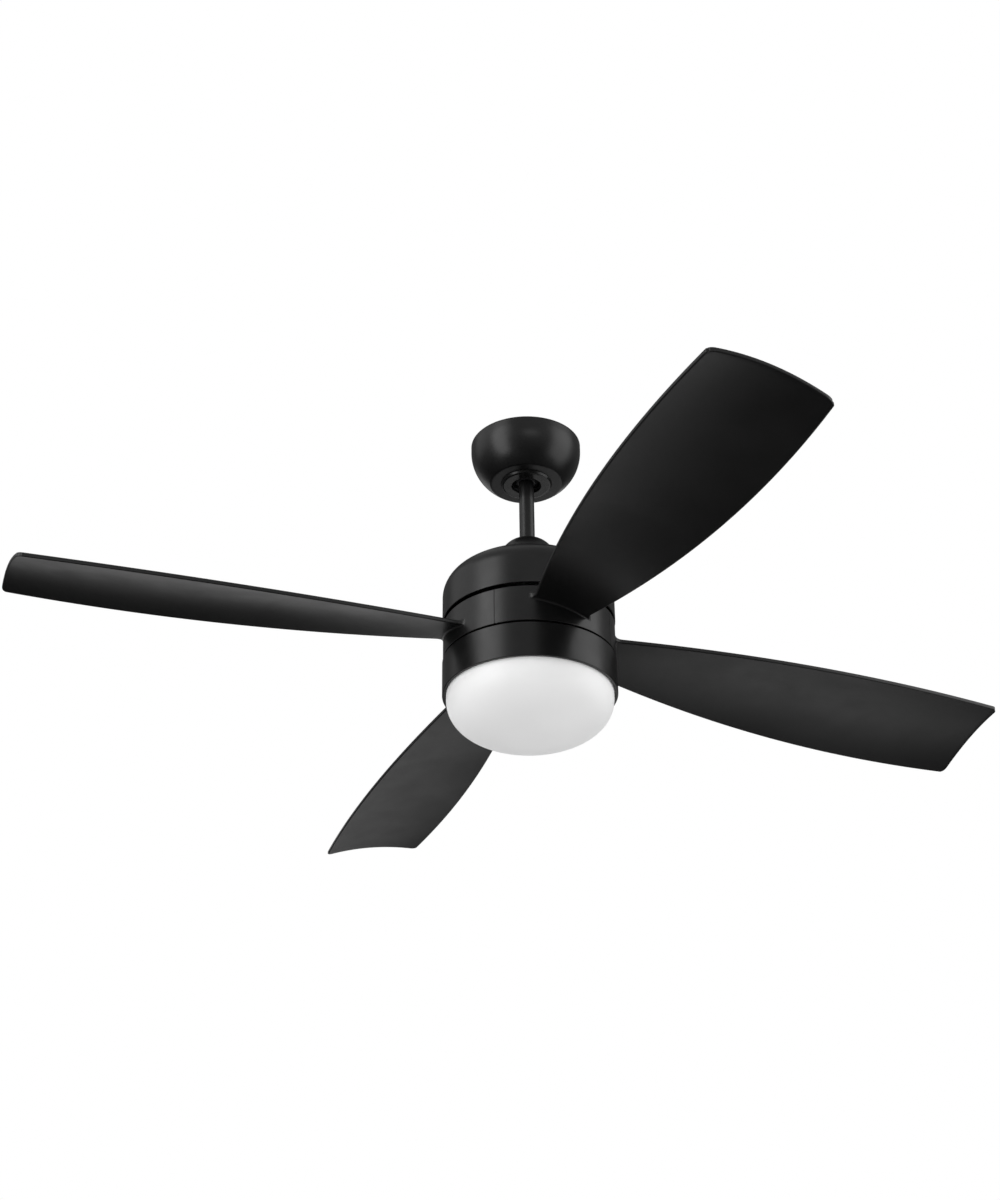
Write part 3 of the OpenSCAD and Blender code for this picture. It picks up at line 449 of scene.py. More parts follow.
def addBlade(bm):
    s, c = bladeSize, collarSize
    loop = sectionPoints()
    share, beside, height = loop[:, 0], loop[:, 1], loop[:, 2]
    tipX = math.sqrt(s["tipRadius"] ** 2 - (chordAt(s["tipRadius"]) / 2) ** 2)
    v = np.clip(share, -1, 1)
    bite = np.clip((np.abs(v) - s["cornerFrom"]) / (1 - s["cornerFrom"]), 0, 1)
    tipLine = tipX + s["tipBulge"] * (1 - v ** 2) - s["tipCorner"] * (1 - np.sqrt(1 - bite ** 2))
    gaps = [-1.2, -0.5, 0.0, 0.3, 0.6, 1.0, 1.5, 2.1, 2.8, 3.6, 4.6, 5.8, 7.2, 9.0, 11.5, 15.0, 20.0]
    inner = [("root", g) for g in gaps]
    middle = [("span", (k / s["alongSteps"]) ** 0.9) for k in range(1, s["alongSteps"] + 1)]
    r = s["edgeRound"]
    ends = [("tip", a) for a in (22.5, 45, 67.5, 90)]
    rows = []
    for kind, value in inner + middle + ends:
        x = np.full(len(loop), c["radius"] + 30.0)
        for _ in range(3):      # a row's place and width depend on each other, and settle in three rounds
            half = chordAt(x) / 2 - r
            gap = x - np.sqrt(np.maximum(c["radius"] ** 2 - (share * half) ** 2, 1))
            if kind == "root":
                gap = np.full(len(loop), value)
            wide = rootSwell(gap, s["rootWide"], s["rootWideReach"])
            y = share * (half + wide) + beside
            rootLine = np.sqrt(np.maximum(c["radius"] ** 2 - y ** 2, 1))
            if kind == "root":
                x = rootLine + value
            elif kind == "span":
                start = rootLine + gaps[-1]
                x = start + value * (tipLine - r - start)
            else:
                x = tipLine - r + r * math.sin(math.radians(value))
        inset = r * (1 - math.cos(math.radians(value))) if kind == "tip" else 0
        middleZ = s["thick"] / 2
        squeeze = (middleZ - inset) / middleZ
        y = y * (1 - inset / s["tipNarrows"])
        deep = rootSwell(gap, s["rootDeep"], s["rootDeepReach"])
        z = undersideAt(x, y / (half + wide + r), half + wide + r) + middleZ + (height - middleZ) * squeeze
        z = z + deep * (height - middleZ) / middleZ
        rows.append([bm.verts.new((a * mm, b * mm, h * mm)) for a, b, h in zip(x, y, z)])
    count = len(loop)
    for here, following in zip(rows, rows[1:]):
        for k in range(count):
            j = (k + 1) % count
            bm.faces.new((here[k], following[k], following[j], here[j]))
    n, side = s["acrossPoints"], 9      # points on a face and on a rounded edge
    for row in (rows[0], rows[-1]):
        low, high = row[:n], row[n + side:2 * n + side][::-1]
        edgeA, edgeB = row[n:n + side], row[2 * n + side:]
        for k in range(n - 1):
            bm.faces.new((low[k], low[k + 1], high[k + 1], high[k]))
        bm.faces.new([low[-1]] + edgeA + [high[-1]])
        bm.faces.new([high[0]] + edgeB + [low[0]])


def makeBlade(number):
    s, c = bladeSize, collarSize
    bm = bmesh.new()
    addBlade(bm)
    bladeFaces = len(bm.faces)
    seamAngle = math.degrees(c["seam"] / c["radius"])
    outline = [(c["flange"], c["top"], 0.5), (c["flange"], c["top"] - c["flangeThick"], 0.5),
               (c["radius"] - c["wall"], c["top"] - c["flangeThick"], 1.5),
               (c["radius"] - c["wall"], c["bottom"], 0.6), (c["radius"], c["bottom"], 0.7),
               (c["radius"], c["top"], 0.9)]
    turn(bm, roundedOutline(outline, 5, 0.6), 72, -45 + seamAngle / 2, 90 - seamAngle)
    bm.faces.ensure_lookup_table()
    for face in bm.faces[bladeFaces:]:
        face.material_index = 1
    bm.transform(Matrix.Rotation(math.radians(s["turn"] + 90 * (number - 1)), 4, "Z"))
    piece = pieceFrom(f"blade_moulding_{number}", bm, [bladeBlack, collarBlack], 40)
    return settle(piece, "rotor", "blade_plastic", f"blade_{number}")


for number in range(1, 5):
    makeBlade(number)
print("blades moulded")


# The opal bowl's section is a straight neck and then a curve whose power keeps its side upright
bowlSize = {"Radius": 110.6, "Neck top": -389.0, "Side end": -400.0, "Bottom": -457.88, "Wall": 3.0,
            "Power": 2.35, "Segments": 256, "Rows": 96}


# Builds one Geometry Nodes tree and remembers its inputs by name
class NodeBench:
    def __init__(self, name):
        self.tree = bpy.data.node_groups.new(name, "GeometryNodeTree")
        self.tree.interface.new_socket("Geometry", in_out="INPUT", socket_type="NodeSocketGeometry")
        self.tree.interface.new_socket("Geometry", in_out="OUTPUT", socket_type="NodeSocketGeometry")
        self.start = self.tree.nodes.new("NodeGroupInput")
        self.end = self.tree.nodes.new("NodeGroupOutput")
        self.sockets = {}

    def input(self, name, kind="NodeSocketFloat"):
        socket = self.tree.interface.new_socket(name, in_out="INPUT", socket_type=kind)
        self.sockets[name] = socket.identifier
        return self.start.outputs[name]

    def put(self, socket, value):
        if isinstance(value, bpy.types.NodeSocket):
            self.tree.links.new(value, socket)
        elif value is not None:
            socket.default_value = value

    def node(self, kind, out=0, settings=None, **values):
        node = self.tree.nodes.new(kind)
        for key, value in (settings or {}).items():
            setattr(node, key, value)
        for key, value in values.items():
            self.put(node.inputs[key.replace("_", " ")], value)
        return node.outputs[out]

    def math(self, operation, a, b=None):
        node = self.tree.nodes.new("ShaderNodeMath")
        node.operation = operation
        self.put(node.inputs[0], a)
        self.put(node.inputs[1], b)
        return node.outputs[0]

    def vector(self, x, y, z):
        return self.node("ShaderNodeCombineXYZ", X=x, Y=y, Z=z)

    def parts(self, vector):
        node = self.tree.nodes.new("ShaderNodeSeparateXYZ")
        self.tree.links.new(vector, node.inputs[0])
        return node.outputs

    def finish(self, geometry, finishSocket):
        real = self.node("GeometryNodeRealizeInstances", Geometry=geometry)
        painted = self.node("GeometryNodeSetMaterial", Geometry=real, Material=finishSocket)
        self.tree.links.new(painted, self.end.inputs[0])


# Runs a node tree on a host object and keeps the result as a plain mesh
def grow(name, bench, settings, host=None, creaseAngle=40):
    if host is None:
        host = bpy.data.objects.new(name + ".host", bpy.data.meshes.new(name + ".host"))
        bpy.context.scene.collection.objects.link(host)
    modifier = host.modifiers.new("make", "NODES")
    modifier.node_group = bench.tree
    for key, value in settings.items():
        modifier[bench.sockets[key]] = value
    bpy.context.view_layer.update()
    graph = bpy.context.evaluated_depsgraph_get()
    mesh = bpy.data.meshes.new_from_object(host.evaluated_get(graph), preserve_all_data_layers=True,
                                           depsgraph=graph)
    host.modifiers.clear()
    bpy.data.objects.remove(host)
    mesh.name = name
    mesh.shade_smooth()
    mesh.set_sharp_from_angle(angle=math.radians(creaseAngle))
    piece = bpy.data.objects.new(name, mesh)
    bpy.context.scene.collection.objects.link(piece)
    return piece


def makeBowlTree():
    b = NodeBench("opal bowl")
    radius, neckTop = b.input("Radius"), b.input("Neck top")
    sideEnd, bottom = b.input("Side end"), b.input("Bottom")
    wall, power = b.input("Wall"), b.input("Power")
    segments, rows = b.input("Segments", "NodeSocketInt"), b.input("Rows", "NodeSocketInt")
    finish = b.input("Finish", "NodeSocketMaterial")
    grid = b.node("GeometryNodeMeshGrid", Size_X=1.0, Size_Y=2.0, Vertices_X=segments, Vertices_Y=rows)
    x, y, _ = b.parts(b.node("GeometryNodeInputPosition"))
    turnAngle = b.math("MULTIPLY", b.math("ADD", x, 0.5), 2 * math.pi)
    along = b.math("ADD", y, 1.0)                        # 0 to 1 on the outside, 1 to 2 back up on the inside
    isInside = b.math("GREATER_THAN", along, 1.0)
    # middle rows meet the poles
    stretch = b.math("DIVIDE", b.math("SUBTRACT", rows, 1.0), b.math("SUBTRACT", rows, 2.0))
    t = b.math("MINIMUM", b.math("MULTIPLY", b.math("PINGPONG", along, 1.0), stretch), 1.0)
    neckShare = 0.16
    pastNeck = b.math("DIVIDE", b.math("SUBTRACT", t, neckShare), 1 - neckShare)
    bend = b.math("MULTIPLY", b.math("MAXIMUM", pastNeck, 0.0), math.pi / 2)
    offset = b.math("MULTIPLY", isInside, wall)
    across = b.math("MULTIPLY", b.math("SUBTRACT", radius, offset),
                    b.math("POWER", b.math("MAXIMUM", b.math("COSINE", bend), 0.0),
                           b.math("DIVIDE", 2.0, power)))
    drop = b.math("SUBTRACT", b.math("SUBTRACT", sideEnd, bottom), offset)
    fall = b.math("POWER", b.math("SINE", bend), b.math("DIVIDE", 2.0, power))
    curveZ = b.math("SUBTRACT", sideEnd, b.math("MULTIPLY", drop, fall))
    neckPart = b.math("MINIMUM", b.math("DIVIDE", t, neckShare), 1.0)
    neckZ = b.math("ADD", neckTop, b.math("MULTIPLY", neckPart, b.math("SUBTRACT", sideEnd, neckTop)))
    onCurve = b.math("GREATER_THAN", t, neckShare)
    inNeck = b.math("SUBTRACT", 1.0, onCurve)
    z = b.math("ADD", b.math("MULTIPLY", onCurve, curveZ), b.math("MULTIPLY", inNeck, neckZ))
    size = b.math("MULTIPLY", across, mm)
    place = b.vector(b.math("MULTIPLY", size, b.math("COSINE", turnAngle)),
                     b.math("MULTIPLY", size, b.math("SINE", turnAngle)), b.math("MULTIPLY", z, mm))
    shaped = b.node("GeometryNodeSetPosition", Geometry=grid, Position=place)
    closed = b.node("GeometryNodeMergeByDistance", Geometry=shaped, Distance=1e-6)
    b.finish(closed, finish)
    return b


def makeGlassBowl():
    bowl = grow("opal_bowl", makeBowlTree(), {**bowlSize, "Finish": opalGlass}, creaseAngle=50)
    bm = bmesh.new()
    bm.from_mesh(bowl.data)
    bmesh.ops.remove_doubles(bm, verts=bm.verts, dist=1e-6)
    bmesh.ops.delete(bm, geom=[e for e in bm.edges if not e.link_faces], context="EDGES")
    bmesh.ops.bridge_loops(bm, edges=[e for e in bm.edges if e.is_boundary])     # the neck's rim
    bmesh.ops.recalc_face_normals(bm, faces=bm.faces)
    bm.to_mesh(bowl.data)
    bm.free()
    bowl.data.shade_smooth()
    return settle(bowl, "glass", "opal_glass", "glass_bowl")


makeGlassBowl()
print("bowl blown")


# Pan head screws: a domed head with a cross slot, and these shares of its radius and height
screwShares = {"dome": 0.45, "slotLong": 1.15, "slotWide": 0.22, "slotDeep": 1.1}


def makeScrewTree():
    b = NodeBench("pan head screws")
    headRadius, headHeight = b.input("Head radius"), b.input("Head height")
    shankRadius, shankLength = b.input("Shank radius"), b.input("Shank length")
    seed = b.input("Seed", "NodeSocketInt")
    finish = b.input("Finish", "NodeSocketMaterial")
    head = b.node("GeometryNodeMeshCylinder", Vertices=28, Side_Segments=3, Fill_Segments=3,
                  Radius=headRadius, Depth=headHeight)
    x, y, z = b.parts(b.node("GeometryNodeInputPosition"))
    squares = b.math("ADD", b.math("MULTIPLY", x, x), b.math("MULTIPLY", y, y))
    out = b.math("DIVIDE", b.math("SQRT", squares), headRadius)
    below = b.math("MAXIMUM", b.math("DIVIDE", b.math("MULTIPLY", z, -2.0), headHeight), 0.0)
    dome = b.math("MULTIPLY", b.math("MULTIPLY", b.math("POWER", out, 3.0), below),
                  b.math("MULTIPLY", headHeight, screwShares["dome"]))
    domed = b.node("GeometryNodeSetPosition", Geometry=head, Offset=b.vector(0.0, 0.0, dome))
    lowered = b.node("GeometryNodeTransform", Geometry=domed,
                     Translation=b.vector(0.0, 0.0, b.math("MULTIPLY", headHeight, -0.5)))
    long = b.math("MULTIPLY", headRadius, screwShares["slotLong"])
    thin = b.math("MULTIPLY", headRadius, screwShares["slotWide"])
    deep = b.math("MULTIPLY", headHeight, screwShares["slotDeep"])
    drop = b.vector(0.0, 0.0, b.math("MULTIPLY", headHeight, -1.0))
    boxSizes = ((long, thin, deep), (thin, long, deep))
    slotBoxes = [b.node("GeometryNodeMeshCube", Size=b.vector(*size)) for size in boxSizes]
    slots = [b.node("GeometryNodeTransform", Geometry=box, Translation=drop) for box in slotBoxes]
    cut = b.tree.nodes.new("GeometryNodeMeshBoolean")
    cut.operation = "DIFFERENCE"
    b.tree.links.new(lowered, cut.inputs["Mesh 1"])
    for slot in slots:
        b.tree.links.new(slot, cut.inputs["Mesh 2"])
    rod = b.node("GeometryNodeMeshCylinder", Vertices=20, Side_Segments=8, Radius=shankRadius,
                 Depth=shankLength)
    shank = b.node("GeometryNodeTransform", Geometry=rod,
                   Translation=b.vector(0.0, 0.0, b.math("MULTIPLY", shankLength, 0.5)))
    whole = b.tree.nodes.new("GeometryNodeJoinGeometry")
    b.tree.links.new(cut.outputs["Mesh"], whole.inputs[0])
    b.tree.links.new(shank, whole.inputs[0])
    spin = b.node("FunctionNodeRandomValue", out=1, settings={"data_type": "FLOAT"}, Seed=seed)
    for socket in b.tree.nodes[-1].inputs:
        if socket.name == "Max" and socket.type == "VALUE":
            socket.default_value = math.pi
    placed = b.node("GeometryNodeInstanceOnPoints", Points=b.start.outputs["Geometry"],
                    Instance=whole.outputs[0], Rotation=b.vector(0.0, 0.0, spin))
    b.finish(placed, finish)
    return b


screwTree = makeScrewTree()


# A host mesh with one loose point for each place
def pointHost(name, points):
    mesh = bpy.data.meshes.new(name + ".points")
    mesh.from_pydata([(x * mm, y * mm, z * mm) for x, y, z in points], [], [])
    host = bpy.data.objects.new(name + ".points", mesh)
    bpy.context.scene.collection.objects.link(host)
    return host


def ringPoints(count, radius, first, z):
    angles = [math.radians(first + 360 * i / count) for i in range(count)]
    return [(radius * math.cos(a), radius * math.sin(a), z) for a in angles]


# Heads hang down from z; a flipped set stands up instead
screwSets = {
    "canopy_screws": {"body": "mount", "points": ringPoints(2, 27, 90, -63), "head": (3.6, 1.8),
                      "shank": (2.0, 8)},
    "housing_screws": {"body": "hanger", "points": ringPoints(3, 30, 90, -217), "head": (3.8, 2.4),
                       "shank": (2.0, 6), "flip": True},
    "fitter_screws": {"body": "hanger", "points": ringPoints(3, 61, 30, -350), "head": (3.8, 2.4),
                      "shank": (2.0, 6)},
    "led_screws": {"body": "hanger", "points": ringPoints(4, 46, 45, -358), "head": (3.0, 1.8),
                   "shank": (1.5, 9)},
    "rotor_screws": {"body": "rotor", "points": ringPoints(6, 74, 30, -248), "head": (3.6, 2.2),
                     "shank": (2.0, 5.8), "flip": True},
    "flywheel_screws": {"body": "rotor", "points": ringPoints(4, 35, 0, -294), "head": (4.4, 2.8),
                        "shank": (2.5, 15)},
    "blade_screws": {"body": "rotor", "points": [p for a in (-26, 0, 26)
                                                 for p in ringPoints(4, 88, 21.4 + a, -298)],
                     "head": (4.6, 2.8), "shank": (2.5, 8)},
}


def makeScrews():
    for seed, (node, s) in enumerate(screwSets.items()):
        turned = s.get("flip", False)
        points = [(x, -y if turned else y, -z if turned else z) for x, y, z in s["points"]]
        sizes = {"Head radius": s["head"][0] * mm, "Head height": s["head"][1] * mm,
                 "Shank radius": s["shank"][0] * mm, "Shank length": s["shank"][1] * mm,
                 "Seed": seed + 3, "Finish": blackOxide}
        screws = grow(node.replace("_", "."), screwTree, sizes, pointHost(node, points))
        if turned:
            screws.data.transform(Matrix.Rotation(math.pi, 4, "X"))
        settle(screws, s["body"], "dark_screw", node)


makeScrews()


chipSize = {"Chip side": 3.5 * mm, "Chip height": 0.8 * mm, "Lens": 1.35 * mm}
chipRows = ((10, 30), (16, 54), (24, 72))        # how many chips on each ring, and its radius
chipMiddle = -360.0


def makeChipTree():
    b = NodeBench("LED chips")
    side, height, lens = b.input("Chip side"), b.input("Chip height"), b.input("Lens")
    finish = b.input("Finish", "NodeSocketMaterial")
    body = b.node("GeometryNodeMeshCube", Size=b.vector(side, side, height), Vertices_X=3, Vertices_Y=3)
    x, y, z = b.parts(b.node("GeometryNodeInputPosition"))
    inner = b.math("LESS_THAN", b.math("ADD", b.math("ABSOLUTE", x), b.math("ABSOLUTE", y)),
                   b.math("MULTIPLY", side, 0.2))
    low = b.math("LESS_THAN", z, 0.0)
    dish = b.math("MULTIPLY", b.math("MULTIPLY", inner, low), b.math("MULTIPLY", height, 0.35))
    dished = b.node("GeometryNodeSetPosition", Geometry=body, Offset=b.vector(0.0, 0.0, dish))
    drop = b.node("GeometryNodeMeshIcoSphere", Radius=lens, Subdivisions=2)
    flat = b.node("GeometryNodeTransform", Geometry=drop, Scale=b.vector(1.0, 1.0, 0.25))
    whole = b.tree.nodes.new("GeometryNodeJoinGeometry")
    b.tree.links.new(dished, whole.inputs[0])
    b.tree.links.new(flat, whole.inputs[0])
    px, py, _ = b.parts(b.node("GeometryNodeInputPosition"))
    facing = b.vector(0.0, 0.0, b.math("ARCTAN2", py, px))
    placed = b.node("GeometryNodeInstanceOnPoints", Points=b.start.outputs["Geometry"],
                    Instance=whole.outputs[0], Rotation=facing)
    b.finish(placed, finish)
    return b


def makeChips():
    points = [p for count, radius in chipRows for p in ringPoints(count, radius, 9, chipMiddle)]
    chips = grow("led.chips", makeChipTree(), {**chipSize, "Finish": chipYellow},
                 pointHost("led.chips", points))
    settle(chips, "hanger", "led_phosphor", "led_chips")


makeChips()


coilSize = {"Turns": 13.0, "Pitch": 1.42 * mm, "Wire": 0.58 * mm, "Square": 4.5, "Start": 34.2 * mm,
            "Middle": -252 * mm}
coilCount = 18
coilLayers = ((3.15, 12.9), (3.6, 14.6), (3.98, 16.4))       # half width and half height of each layer


def makeCoilTree():
    b = NodeBench("stator coils")
    turns, pitch = b.input("Turns"), b.input("Pitch")
    wire, square = b.input("Wire"), b.input("Square")
    halfWidth, halfHeight = b.input("Half width"), b.input("Half height")
    start, middle = b.input("Start"), b.input("Middle")
    finish = b.input("Finish", "NodeSocketMaterial")
    helix = b.node("GeometryNodeCurveSpiral", Resolution=16, Rotations=turns, Start_Radius=1.0,
                   End_Radius=1.0, Height=b.math("MULTIPLY", turns, pitch))
    x, y, z = b.parts(b.node("GeometryNodeInputPosition"))
    bend = b.math("DIVIDE", 2.0, square)

    def squared(v, size):
        bent = b.math("POWER", b.math("ABSOLUTE", v), bend)
        return b.math("MULTIPLY", b.math("MULTIPLY", b.math("SIGN", v), bent), size)

    path = b.node("GeometryNodeSetPosition", Geometry=helix,
                  Position=b.vector(b.math("ADD", start, z), squared(x, halfWidth),
                                    b.math("ADD", middle, squared(y, halfHeight))))
    section = b.node("GeometryNodeCurvePrimitiveCircle", Resolution=6, Radius=wire)
    wound = b.node("GeometryNodeCurveToMesh", Curve=path, Profile_Curve=section, Fill_Caps=True)
    px, py, _ = b.parts(b.node("GeometryNodeInputPosition"))
    facing = b.vector(0.0, 0.0, b.math("ARCTAN2", py, px))
    placed = b.node("GeometryNodeInstanceOnPoints", Points=b.start.outputs["Geometry"], Instance=wound,
                    Rotation=facing)
    b.finish(placed, finish)
    return b


def makeWindings():
    tree = makeCoilTree()
    layers = []
    for halfWidth, halfHeight in coilLayers:
        sizes = {**coilSize, "Half width": halfWidth * mm, "Half height": halfHeight * mm,
                 "Finish": copperEnamel}
        layers.append(grow("coil.layer", tree, sizes, pointHost("coils", ringPoints(coilCount, 0.001, 0, 0))))
    bm = bmesh.new()
    for layer in layers:
        bm.from_mesh(layer.data)
        bpy.data.objects.remove(layer)
    windings = pieceFrom("stator.windings", bm, [copperEnamel], 60)
    settle(windings, "hanger", "copper_wire", "stator_windings")


makeWindings()


ballSize = {"radius": 2.0, "ring": 15.05, "count": 9, "heights": (-232, -273)}


def makeBallTree():
    b = NodeBench("bearing balls")
    radius = b.input("Ball radius")
    finish = b.input("Finish", "NodeSocketMaterial")
    ball = b.node("GeometryNodeMeshIcoSphere", Radius=radius, Subdivisions=3)
    placed = b.node("GeometryNodeInstanceOnPoints", Points=b.start.outputs["Geometry"], Instance=ball)
    b.finish(placed, finish)
    return b


def makeBearingBalls():
    s = ballSize
    points = [p for z in s["heights"] for p in ringPoints(s["count"], s["ring"], 0, z)]
    balls = grow("bearing.balls", makeBallTree(), {"Ball radius": s["radius"] * mm, "Finish": plainSteel},
                 pointHost("balls", points))
    settle(balls, "rotor", "pin_steel", "bearing_balls")


makeBearingBalls()
print("screws, chips, coils and balls placed")


# A round wire on a smooth curve through the points, as a closed mesh
def makeWire(name, points, radius, finish, sides=10, per=6):
    dense = []
    last = len(points) - 1
    p = [Vector(q) for q in points]
    for i in range(last):
        a, b, c, d = p[max(i - 1, 0)], p[i], p[i + 1], p[min(i + 2, last)]
        for k in range(per):
            t = k / per
            dense.append(0.5 * (2 * b + (c - a) * t + (2 * a - 5 * b + 4 * c - d) * t ** 2
                                + (3 * b - a - 3 * c + d) * t ** 3))
    dense.append(p[-1])
    bm = bmesh.new()
    side, rows = None, []
    for i, point in enumerate(dense):
        ahead = (dense[min(i + 1, len(dense) - 1)] - dense[max(i - 1, 0)]).normalized()
        if side is None:
            side = Vector((0, 0, 1)) if abs(ahead.z) < 0.9 else Vector((1, 0, 0))
        side = (side - ahead * side.dot(ahead)).normalized()
        up = ahead.cross(side)
        rows.append([bm.verts.new((point + radius * (math.cos(a) * side + math.sin(a) * up)) * mm)
                     for a in (2 * math.pi * k / sides for k in range(sides))])
    for here, following in zip(rows, rows[1:]):
        for k in range(sides):
            bm.faces.new((here[k], here[(k + 1) % sides], following[(k + 1) % sides], following[k]))
    bm.faces.new(rows[0])
    bm.faces.new(list(reversed(rows[-1])))
    return pieceFrom(name, bm, [finish], 50)


supplyRoutes = {
    "black": ((-6, -4, -1), (-8, -7, -5), (-14, -12, -9), (-19, -20, -10), (-20, -32, -8), (-19, -43, -6),
              (-17.8, -46.6, -8), (-17.4, -47.2, -13), (-17.4, -47.2, -18)),
    "white": ((0, -8, -1), (4, -10, -5), (12, -14, -9), (19, -22, -10), (19, -33, -7), (10, -44, -5),
              (2, -49, -6.5), (0.4, -50.2, -12), (0.4, -50.2, -18)),
    "green": ((7, -3, -1), (10, -6, -5), (18, -12, -9), (24, -22, -10), (25, -34, -8), (22, -44, -6),
              (18, -46.6, -8), (17.4, -47.2, -13), (17.4, -47.2, -18)),
}
connectorPlaces = ((-17, -49), (0, -52), (17, -49))
lastBends = (((24, -51, -5.5),), ((22, -56, -5), (10, -55.5, -3.6)),
             ((20, -60, -4.5), (0, -60.5, -4), (-11, -56, -4)))


def receiverRoute(k):
    lift = 3.2 * k
    x, y = connectorPlaces[2 - k]
    return ((34, 40 + 6 * k, -17), (41, 39 + 4.5 * k, -18 + 2.2 * k), (50, 31, -20 + lift),
            (56, 14, -22 + lift), (58, -6, -22 + lift), (53, -24, -18 + lift), (44, -37, -14 + lift),
            (33, -47 - k, -11 + lift), *lastBends[k], (x + 0.6, y - 2.6, -6.5), (x - 0.4, y - 2.1, -13),
            (x - 0.4, y - 2.1, -18))


wireRadius = {"supply": 1.3, "receiver": 1.1, "rod": 1.25}
rodWires = {"white": (5, 1.5), "black": (5, -1.5), "green": (-5, 1.5), "blue": (-5, -1.5)}
rodWireEnds = (-296, -15)


def makeWires():
    for colour, route in supplyRoutes.items():
        wire = makeWire(f"supply.wire.{colour}", route, wireRadius["supply"], wireSkins[colour])
        settle(wire, "mount", "wire_skin", "supply_wires")
    for k, colour in enumerate(("green", "white", "black")):
        wire = makeWire(f"receiver.wire.{colour}", receiverRoute(k), wireRadius["receiver"],
                        wireSkins[colour])
        settle(wire, "mount", "wire_skin", "receiver_wires")
    low, high = rodWireEnds
    for colour, (x, y) in rodWires.items():
        straight = [(x, y, low + (high - low) * i / 6) for i in range(7)]
        wire = makeWire(f"rod.wire.{colour}", straight, wireRadius["rod"], wireSkins[colour], 16, 1)
        settle(wire, "hanger", "wire_skin", "lead_wires")


makeWires()
print("wires laid")


# Plastic parts and magnets get a softened edge, in millimetres, on a merged copy of their own solid
softened = {
    "receiver": {"edge": 0.9, "finish": receiverBlack, "slot": "trim_plastic", "body": "mount"},
    "lead_plug": {"edge": 0.5, "finish": plugWhite, "slot": "white_plastic", "body": "hanger"},
    "driver_plug": {"edge": 0.5, "finish": plugWhite, "slot": "white_plastic", "body": "hanger"},
    "led_driver": {"edge": 0.8, "finish": plugWhite, "slot": "white_plastic", "body": "hanger"},
    "rotor_magnets": {"edge": 0.3, "finish": magnetGrey, "slot": "magnet_ferrite", "body": "rotor"},
}


def softenNodes():
    for node, s in softened.items():
        bm = bmesh.new()
        bm.from_mesh(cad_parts[node].data)
        bmesh.ops.remove_doubles(bm, verts=bm.verts, dist=1e-6)
        bmesh.ops.dissolve_limit(bm, angle_limit=math.radians(3), verts=bm.verts, edges=bm.edges)
        corners = [e for e in bm.edges if len(e.link_faces) == 2 and e.calc_face_angle(0) > math.radians(40)]
        bmesh.ops.bevel(bm, geom=corners, offset=s["edge"] * mm, segments=3, profile=0.5, affect="EDGES",
                        clamp_overlap=True)
        settle(pieceFrom(node.replace("_", "."), bm, [s["finish"]], 35), s["body"], s["slot"], node)


softenNodes()


# These nodes keep their own shape and only get a finish
nodeFinishes = (
    (zincPlate, ("hanger_bracket", "light_pan")),
    (plainSteel, ("key_pin", "ball_cross_pin", "clevis_pin", "motor_shaft", "bearing_inner_rings",
                  "bearing_outer_rings")),
    (ballBlack, ("hanger_ball",)),
    (blackOxide, ("ball_set_screw", "coupling_screws")),
    (castIron, ("motor_coupling",)),
    (goldSpring, ("hitch_pin",)),
    (coreSteel, ("stator_core",)),
    (castAluminium, ("led_plate", "led_spacers", "rotor_upper_shell", "rotor_lower_shell", "flywheel")),
    (boardWhite, ("led_board",)),
    (ringWhite, ("glass_ring",)),
    (connectorOrange, ("wire_connectors",)),
)


def finishNodes():
    for finish, nodes in nodeFinishes:
        for node in nodes:
            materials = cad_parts[node].data.materials
            materials.clear()
            materials.append(finish)


finishNodes()
print("nodes finished")


# Camera in metres and degrees, and how bright the room is to each kind of ray
cameraSetting = {"place": (-0.03836, -2.28883, -1.56743), "pitch": 29.931, "roll": -0.569, "lens": 70.36}
roomSetting = {"floor": -3.6, "wide": 120.0, "backdrop": 1.0, "soft": 0.86, "reflectedLow": 0.08,
               "reflectedHigh": 0.33, "reflectedBack": 0.35}


def makeCamera():
    s = cameraSetting
    pitch, roll = math.radians(s["pitch"]), math.radians(s["roll"])
    right = Vector((1, 0, 0))
    forward = Vector((0, math.cos(pitch), math.sin(pitch)))
    up = Vector((0, -math.sin(pitch), math.cos(pitch)))
    across = right * math.cos(roll) + up * math.sin(roll)
    above = up * math.cos(roll) - right * math.sin(roll)
    facing = Matrix((across, above, -forward)).transposed().to_4x4()
    data = bpy.data.cameras.new("camera")
    data.lens, data.sensor_width, data.sensor_fit = s["lens"], 36, "HORIZONTAL"
    camera = bpy.data.objects.new("camera", data)
    camera.matrix_world = Matrix.Translation(s["place"]) @ facing
    bpy.context.scene.collection.objects.link(camera)
    bpy.context.scene.camera = camera


